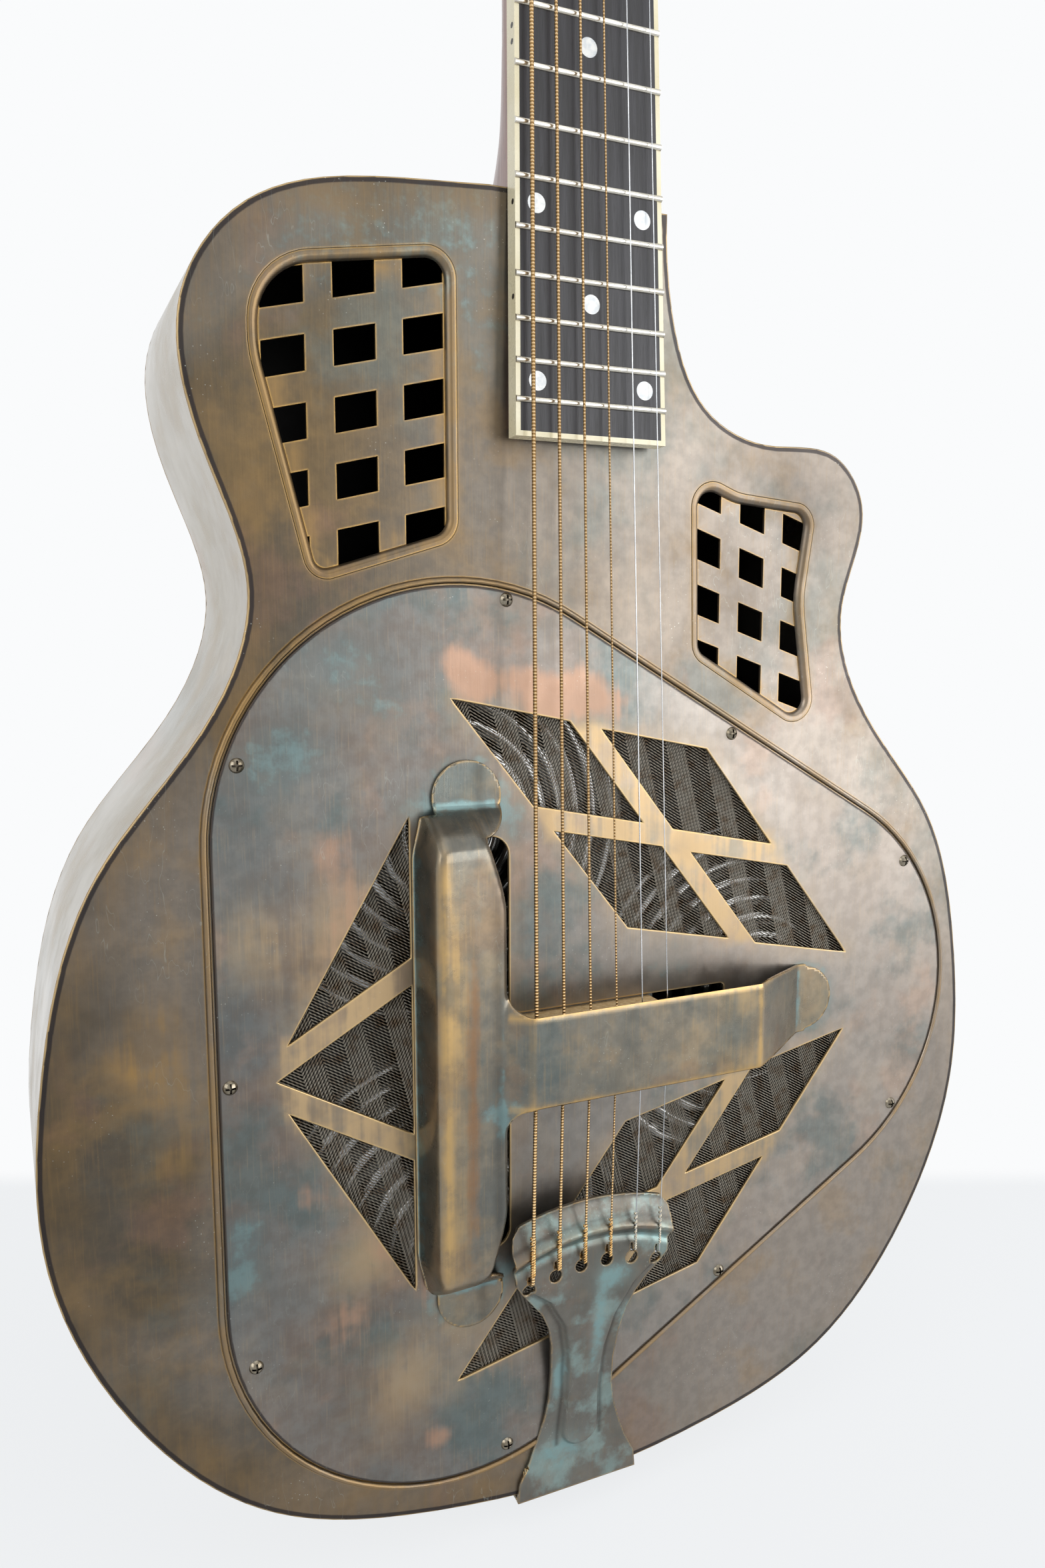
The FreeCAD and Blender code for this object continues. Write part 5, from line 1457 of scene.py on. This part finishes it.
        def flushed(across: float, up: float, out: float) -> float:
            """Brown-copper bands beside the gold."""
            beside = 0.7 * fade(across + 50.0, 4.0) * fade(up + 10.0, 70.0)
            strap = 0.28 * fade(across - 12.0, 40.0) * fade(abs(up) - 2.0, 12.0)
            return max(beside, strap)

        def shadowed(across: float, up: float, out: float) -> float:
            """Dark along the bar's right edge."""
            return 0.35 * fade(across + 40.0, 2.2)

        stains = named(rubbed, verdigris, flushed, shadowed)
        brass = REST_BRASS.build()
        at_axis = {"flats": False, "stains": stains, "up_from": AXIS_Z}
        Piece("formed_handrest", shape, "rest_metal", brass, ("handrest",), **at_axis).build()


@dataclass
class Tailpiece:
    """Stamped tailpiece: a waisted plate with a raised tongue and a rolled ridge under the strings."""

    sheet_mm: float = 1.5
    flange_mm: float = 51.2
    half_widths: tuple[tuple[float, float], ...] = (
        (-1.5, 25.6),
        (5.6, 25.0),
        (14.0, 20.8),
        (23.4, 17.5),
        (32.0, 14.9),
        (40.2, 13.6),
        (51.3, 13.4),
        (64.7, 14.5),
        (73.0, 16.4),
        (80.0, 19.6),
        (86.0, 24.2),
        (92.0, 29.0),
        (96.0, 31.6),
        (103.8, 32.5),
        (109.0, 33.4),
        (114.0, 32.6),
        (118.0, 29.5),
    )
    heights: tuple[tuple[float, float], ...] = (
        (-1.5, 1.5),
        (2.0, 1.7),
        (6.7, 2.7),
        (16.0, 3.9),
        (27.9, 5.0),
        (40.0, 6.5),
        (51.3, 7.9),
        (62.0, 10.0),
        (73.7, 12.4),
        (84.0, 14.0),
        (92.0, 14.3),
        (125.0, 14.3),
    )
    tongue: tuple[tuple[float, float], ...] = (
        (0, 8.5),
        (24, 8.0),
        (40, 7.0),
        (60, 8.0),
        (74, 11.0),
        (86, 18.0),
        (96, 30.0),
    )
    lip_centre: float = 27.1
    lip_radius: float = 95.4
    ridge_radius: float = 84.6
    keyholes: tuple[tuple[float, float], ...] = ()
    hole_radius: float = 2.5

    def past_ridge(self, x: np.ndarray, z: np.ndarray) -> np.ndarray:
        """How far a point lies outside the ridge's arc."""
        return np.hypot(x, z - self.lip_centre) - self.ridge_radius

    def inside(self, x: np.ndarray, z: np.ndarray) -> np.ndarray:
        """Distance inside the outline, with the keyholes left open."""
        places, halves = zip(*self.half_widths)
        slope = np.gradient(np.array(halves), np.array(places))
        lean = np.interp(z, places, slope)
        edge = (np.interp(z, places, halves) - np.abs(x)) / np.hypot(1.0, lean)
        arch = self.lip_radius - np.hypot(x, z - self.lip_centre)
        whole = np.minimum(np.minimum(edge, arch), z + 1.5)
        for across, up in self.keyholes:
            hole = np.hypot(x - across, z - up) - self.hole_radius
            slot = np.maximum(np.abs(x - across) - 0.55, np.maximum(up - z, z - up - 6.0))
            whole = np.minimum(whole, np.minimum(hole, slot))
        return whole

    def height(self, x: np.ndarray, z: np.ndarray) -> np.ndarray:
        """Height of the top surface over the face."""
        places, tops = zip(*self.heights)
        base = np.interp(z, places, tops)
        half = np.interp(z, *zip(*self.tongue))
        round_end = np.hypot(x, np.minimum(z - 25.0, 0.0)) - half
        tongue = 1 - rise(round_end, -1.6, 0.8)
        tongue = np.where(z > 96, 1.0, tongue)
        share = rise(z, 0.0, 14.0)
        level = base - 2.8 * (1 - tongue) * share * (1 - rise(z, 84.0, 97.0))
        outward = self.past_ridge(x, z)
        ridge = 2.45 * np.exp(-((outward / 2.1) ** 2)) - 0.9 * np.exp(-(((outward + 4.4) / 1.4) ** 2))
        lip = -1.8 * rise(outward, 4.0, 10.5) - 0.5 * rise(outward, 2.5, 5.0)
        head = rise(z, 88.0, 98.0)
        return np.maximum(level + head * (ridge + lip), 1.5)

    def build(self) -> None:
        """Make the tailpiece and its folded flange."""
        self.keyholes = tuple(string_ends())
        lines_x = np.arange(-34.5, 34.6, 0.55)
        spans = ((-2.4, 86.0, 1.1), (86.0, 107.0, 0.55), (107.0, 124.0, 0.8))
        lines_z = np.concatenate([np.arange(*span) for span in spans])
        shape = pressed_sheet(lines_x, lines_z, self.inside, self.height, self.sheet_mm)

        def rubbed(across: float, up: float, out: float) -> float:
            """A worn line along the ridge."""
            return 0.35 * fade(self.past_ridge(across, up), 1.6) * (up > 95)

        def verdigris(across: float, up: float, out: float) -> float:
            """Pale blue-green left behind the ridge and down the tongue's side."""
            behind = 0.5 * fade(self.past_ridge(across, up) + 4.5, 1.6) * (up > 90)
            down = 0.8 * fade(across - 3.5, 3.0) * fade(up - 72.0, 20.0)
            under = 0.7 * fade(across - 9.0, 7.0) * fade(up - 91.0, 5.0)
            left = 0.9 * fade(across + 10.0, 2.6) * fade(up - 50.0, 11.0)
            low = 0.7 * fade(math.hypot(across + 8.0, up - 16.0), 9.0)
            return min(1.0, behind + down + under + left + low)

        def shadowed(across: float, up: float, out: float) -> float:
            """Dark at the foot of the tongue and in the groove behind the ridge."""
            half = float(np.interp(up, *zip(*self.tongue)))
            foot = 0.55 * fade(abs(across) - half - 1.2, 0.9) * (18 < up < 92)
            groove = 0.5 * fade(self.past_ridge(across, up) - 3.4, 0.9) * (up > 92)
            return foot + groove

        stains = named(rubbed, verdigris, shadowed)
        flange = bmesh.new()
        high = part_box("tailpiece")[1]
        bmesh.ops.create_cube(flange, size=1.0)
        span = Vector((self.flange_mm * MM, high.y - FACE_Y, self.sheet_mm * MM))
        bmesh.ops.scale(flange, verts=flange.verts, vec=span)
        middle = (0.0, (high.y + FACE_Y) / 2, -self.sheet_mm / 2 * MM)
        bmesh.ops.translate(flange, verts=flange.verts, vec=middle)
        rounding = {"offset": 0.4 * MM, "segments": 2, "profile": 0.5, "affect": "EDGES", "material": -1}
        bmesh.ops.bevel(flange, geom=flange.edges[:], **rounding)
        whole, brass = joined([shape, flange]), TAIL_BRASS.build()
        looks = {"flats": False, "stains": stains}
        Piece("formed_tailpiece", whole, "tail_metal", brass, ("tailpiece",), **looks).build()


def string_ends() -> list[tuple[float, float]]:
    """Centres of the tailpiece's keyholes, just below the balls on the strings' ends.

    Returns:
        Across and up for each string, in millimetres.
    """
    places = []
    for number in STRINGS:
        points = np.array([vertex.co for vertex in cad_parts[f"string_{number}"].data.vertices])
        ball = points[points[:, 2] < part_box(f"string_{number}")[0].z + 4.0 * MM]
        middle = (ball.min(axis=0) + ball.max(axis=0)) / 2 / MM
        places.append((float(middle[0]), float(middle[2]) - 2.8))
    return places


@dataclass
class SpunCone:
    """Thin aluminium cone with turned ripples."""

    node: str
    radius_mm: float = 75.9
    rise_mm: float = 13.0
    ripple_mm: float = 0.6
    ripple_pitch_mm: float = 7.6

    def build(self) -> None:
        """Spin the cone."""
        low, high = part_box(self.node)
        middle = (low + high) / 2
        rim_y = high.y
        shape = bmesh.new()
        steps = np.linspace(0.0, self.radius_mm, 90)
        path = []
        for reach in steps:
            share = reach / self.radius_mm
            lift = self.rise_mm * (1 - rise(share, 0.02, 0.86)) + 0.6
            if share < 0.88:
                lift = lift + self.ripple_mm * math.sin(2 * math.pi * reach / self.ripple_pitch_mm)
            else:
                lift = lift + 1.9 * fade((share - 0.93) * 76, 1.8)
            path.append(shape.verts.new((middle.x + reach * MM, rim_y - float(lift) * MM, middle.z)))
        edges = [shape.edges.new(pair) for pair in zip(path, path[1:])]
        bmesh.ops.spin(
            shape,
            geom=path + edges,
            cent=(middle.x, 0.0, middle.z),
            axis=(0.0, 1.0, 0.0),
            angle=2 * math.pi,
            steps=96,
            use_merge=True,
            use_duplicate=False,
        )
        bmesh.ops.remove_doubles(shape, verts=shape.verts, dist=0.01 * MM)
        bmesh.ops.recalc_face_normals(shape, faces=shape.faces)
        shape.normal_update()
        if sum(face.normal.y * face.calc_area() for face in shape.faces) > 0:
            bmesh.ops.reverse_faces(shape, faces=shape.faces)
        material = SpunAluminium(f"spun_{self.node}", (middle.x, middle.z)).build()
        Piece(f"turned_{self.node}", shape, "cone_aluminium", material, (self.node,), flats=False).build()


@dataclass
class StringTwists:
    """Lock windings at each string's tail end, from its keyhole over the tailpiece's ridge."""

    low_z: float = 101.0
    length_mm: float = 15.0
    turns: int = 8
    crest_z: float = 111.6
    crest_height: float = 16.85
    slope: float = 0.03
    radii_mm: tuple[float, ...] = (0.165, 0.215, 0.33, 0.455, 0.57, 0.71)

    def build(self) -> None:
        """Wind two wires round each string."""
        bronze = PlainFinish("twisted_bronze_wire", "#dcb980", "#b98f55", 0.25, 1.0, 3.0, 0.02).build()
        steel = PlainFinish("twisted_steel_wire", "#cfc7b4", "#a89f8c", 0.25, 1.0, 3.0, 0.02).build()
        for number, ((x, _), radius) in enumerate(zip(string_ends(), self.radii_mm), 1):
            self.wind(number, x, radius, bronze if number > 2 else steel)

    def wind(self, number: int, x: float, radius: float, material: bpy.types.Material) -> None:
        """Wind one string.

        Args:
            number: The string's number.
            x: Where it lies across, in millimetres.
            radius: Its radius.
            material: The winding's finish.
        """
        wire = 0.20 + 0.2 * radius
        height = self.crest_height + radius - self.slope * (self.crest_z - self.low_z)
        middle = (x * MM, FACE_Y - height * MM, 0.0)
        steps = 12 * self.turns
        shapes = []
        for turned in (0.0, math.pi):
            shape = bmesh.new()
            bmesh.ops.create_circle(shape, cap_ends=True, segments=6, radius=wire * MM)
            offset = Vector(((0.55 * radius + wire) * MM, 0.0, self.low_z * MM))
            upright = Matrix.Rotation(math.pi / 2, 3, "X")
            bmesh.ops.rotate(shape, verts=shape.verts, cent=(0, 0, 0), matrix=upright)
            bmesh.ops.translate(shape, verts=shape.verts, vec=Vector(middle) + offset)
            bmesh.ops.rotate(shape, verts=shape.verts, cent=middle, matrix=Matrix.Rotation(turned, 3, "Z"))
            bmesh.ops.spin(
                shape,
                geom=shape.faces[:],
                cent=middle,
                axis=(0.0, 0.0, 1.0),
                dvec=(0.0, -self.slope * self.length_mm * MM / steps, self.length_mm * MM / steps),
                angle=2 * math.pi * self.turns,
                steps=steps,
            )
            bmesh.ops.recalc_face_normals(shape, faces=shape.faces)
            shapes.append(shape)
        slot = "string_wound" if number > 2 else "string_plain"
        Piece(f"string_twist_{number}", joined(shapes), slot, material, flats=False).build()


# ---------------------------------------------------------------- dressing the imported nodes


def dress(node: str, material: bpy.types.Material) -> None:
    """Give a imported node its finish.

    Args:
        node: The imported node's name.
        material: What it is dressed with.
    """
    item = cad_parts[node]
    if not item.data.materials:
        item.data.materials.append(material)
    for slot in item.material_slots:
        slot.material = material
    log.info("dressed %s with %s", node, material.name)


@dataclass
class Body:
    """The sheet-metal body."""

    sides: tuple[str, ...] = ("side_bass", "side_treble")

    def build(self) -> None:
        """Dress the body."""
        TopPlate().build()
        side = SIDE_BRASS_SHEEN.build()
        for node in self.sides:
            dress(node, side)
        dress("back_plate", BACK_BRASS.build())


@dataclass
class Resonator:
    """Cones, their well, the coverplate and what stands on it."""

    cones: tuple[str, ...] = ("cone_bass_upper", "cone_bass_lower", "cone_treble")
    screens: tuple[str, ...] = ("mesh_bass", "mesh_upper", "mesh_lower")

    def build(self) -> None:
        """Dress the resonator."""
        for node in self.cones:
            SpunCone(node).build()
        wire = WovenWire().build()
        for node in self.screens:
            dress(node, wire)
        dress("soundwell", Plating.WELL.build())
        dress("bridge", Plating.CAST.build())
        dress("saddle", MAPLE.build())
        Coverplate().build()
        Handrest().build()
        Tailpiece().build()
        dress("cover_screws", Plating.SCREW.build())


@dataclass
class Neck:
    """Neck, fingerboard and headstock."""

    def build(self) -> None:
        """Dress the neck."""
        mahogany = MAHOGANY.build()
        for node in ("neck", "board_riser"):
            dress(node, mahogany)
        bare = BARE_MAHOGANY.build()
        for node in ("neck_stick", "back_dowels", "end_block"):
            dress(node, bare)
        dress("fingerboard", EBONY.build())
        dress("fingerboard_binding", Plating.BINDING.build())
        dress("fret_markers", Plating.PEARL.build())
        dress("side_dots", Plating.SIDE_DOT.build())
        dress("frets", Plating.FRET.build())
        dress("nut", Plating.BONE.build())
        dress("headstock_veneer", VENEER.build())
        dress("truss_cover", Plating.COVER.build())
        dress("truss_rod", Plating.ROD.build())
        small = Plating.NICKEL.build()
        groups = ["truss_cover_screws", "tuner_screws", "tuner_housings", "tuner_bushings", "strap_button"]
        turning = [f"tuner_{kind}_{number}" for number in STRINGS for kind in ("post", "knob")]
        for node in groups + turning:
            dress(node, small)


@dataclass
class Strings:
    """Four wound strings and two plain ones."""

    wound: tuple[int, ...] = (3, 4, 5, 6)
    plain: tuple[int, ...] = (1, 2)

    def build(self) -> None:
        """Dress the strings."""
        bronze = WoundWire().build()
        steel = Plating.STRING.build()
        for number in self.wound:
            dress(f"string_{number}", bronze)
        for number in self.plain:
            dress(f"string_{number}", steel)
        StringTwists().build()


# ---------------------------------------------------------------- studio


@dataclass
class Studio:
    """Pale stage that ends softly behind the guitar, soft lights and the camera."""

    camera_place: tuple[float, float, float] = (-0.18987, -0.4086, 0.3316)
    camera_right: tuple[float, float, float] = (0.91040686, -0.41370847, -0.00215449)
    camera_up: tuple[float, float, float] = (0.05679057, 0.11981157, 0.99117103)
    lens_mm: float = 26.456
    white: str = "#fafbfc"
    floor_glow: float = 0.85
    floor_half: float = 6.0
    floor_ahead: float = 0.71
    floor_fade: float = 0.03
    floor_reach: float = 0.9
    lamps: tuple[tuple[str, tuple[float, float, float], float, float], ...] = (
        ("softbox_left", (-1.9, -1.1, 1.2), 1.5, 16.0),
        ("softbox_top", (0.2, -1.0, 2.4), 1.8, 8.0),
        ("softbox_right", (1.5, -1.5, 0.5), 2.0, 38.0),
    )
    target: tuple[float, float, float] = (0.0, 0.0, 0.35)

    def build(self) -> None:
        """Set up the studio."""
        self.floor()
        self.world()
        for name, place, side, power in self.lamps:
            self.lamp(name, place, side, power)
        self.camera()
        bpy.context.scene.view_settings.view_transform = "Standard"

    def lamp(self, name: str, place: tuple[float, float, float], side: float, power: float) -> None:
        """One square softbox aimed at the guitar.

        Args:
            name: The lamp's name.
            place: Where it hangs, in metres.
            side: Its side, in metres.
            power: Its power, in watts.
        """
        data = bpy.data.lights.new(name, "AREA")
        data.shape = "SQUARE"
        data.size = side
        data.energy = power
        item = bpy.data.objects.new(name, data)
        item.location = place
        aim = Vector(self.target) - Vector(place)
        item.rotation_mode = "QUATERNION"
        item.rotation_quaternion = aim.to_track_quat("-Z", "Y")
        bpy.context.scene.collection.objects.link(item)

    def floor(self) -> None:
        """Pale floor under the guitar, ending a short way behind it."""
        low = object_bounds()[0]
        mesh = bpy.data.meshes.new("floor")
        shape = bmesh.new()
        right = Vector((self.camera_right[0], self.camera_right[1], 0.0)).normalized()
        ahead = Vector((0.0, 0.0, 1.0)).cross(right)
        under = Vector((self.camera_place[0], self.camera_place[1], low.z - 0.0005))
        far_edge = ahead.dot(under) + self.floor_ahead
        wide = self.floor_half
        corners = ((-wide, -wide), (wide, -wide), (wide, self.floor_ahead), (-wide, self.floor_ahead))
        shape.faces.new([shape.verts.new(under + right * side + ahead * depth) for side, depth in corners])
        shape.to_mesh(mesh)
        shape.free()
        item = bpy.data.objects.new("floor", mesh)
        bpy.context.scene.collection.objects.link(item)
        material, tree, place = start_material("pale_studio_floor")
        soft = clouds(tree, place, 900.0, 2.0)
        colour = over(tree, linear("#f4f5f7"), soft, "#eef0f2")
        shader = add(tree, "BsdfPrincipled", Base_Color=colour, Roughness=0.8)
        rays = add(tree, "LightPath")
        seen = math_node(tree, "MAXIMUM", rays.outputs["Is Camera Ray"], rays.outputs["Is Glossy Ray"])
        glow = add(tree, "Emission", Color=linear("#f4f6f8"), Strength=1.0)
        share = times(tree, seen, self.floor_glow)
        lit = add(tree, "MixShader", in_0=share, in_1=shader.outputs[0], in_2=glow.outputs[0])
        dot = {"operation": "DOT_PRODUCT"}
        along = add(tree, "VectorMath", dot, in_0=place, in_1=tuple(ahead)).outputs["Value"]
        reach = add(tree, "VectorMath", {"operation": "LENGTH"}, in_0=place).outputs["Value"]
        behind = between(tree, along, far_edge - self.floor_fade, far_edge)
        around = between(tree, reach, self.floor_reach, 2.0 * self.floor_reach)
        ended = math_node(tree, "MAXIMUM", behind, around)
        clear = add(tree, "BsdfTransparent")
        mixed = add(tree, "MixShader", in_0=ended, in_1=lit.outputs[0], in_2=clear.outputs[0])
        finish_material(tree, mixed.outputs[0])
        item.data.materials.append(material)
        item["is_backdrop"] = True

    def world(self) -> None:
        """White surroundings for the eye and for reflections, softer as light."""
        world = bpy.data.worlds.new("white_studio")
        bpy.context.scene.world = world
        world.use_nodes = True
        tree = world.node_tree
        tree.nodes.clear()
        rays = add(tree, "LightPath")
        seen = math_node(tree, "MAXIMUM", rays.outputs["Is Camera Ray"], rays.outputs["Is Transmission Ray"])
        seen = math_node(tree, "MAXIMUM", seen, rays.outputs["Is Glossy Ray"])
        strength = between(tree, seen, 0.0, 1.0, 0.45, 1.0)
        background = add(tree, "Background", Color=linear(self.white), Strength=strength)
        add(tree, "OutputWorld", Surface=background.outputs[0])

    def camera(self) -> None:
        """Camera at the viewing place."""
        data = bpy.data.cameras.new("camera")
        data.sensor_width = 36.0
        data.lens = self.lens_mm
        data.clip_start = 0.01
        data.clip_end = 50.0
        item = bpy.data.objects.new("camera", data)
        right = Vector(self.camera_right)
        up = Vector(self.camera_up)
        back = right.cross(up)
        turn = Matrix((right, up, back)).transposed()
        item.matrix_world = Matrix.Translation(self.camera_place) @ turn.to_4x4()
        bpy.context.scene.collection.objects.link(item)
        bpy.context.scene.camera = item


def main() -> None:
    """Build every sub-assembly in order."""
    logging.basicConfig(level=logging.INFO, format="%(message)s")
    for sub_assembly in (Body(), Resonator(), Neck(), Strings(), Studio()):
        sub_assembly.build()
        log.info("built %s", type(sub_assembly).__name__)


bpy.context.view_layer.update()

if __name__ == "__main__":
    main()
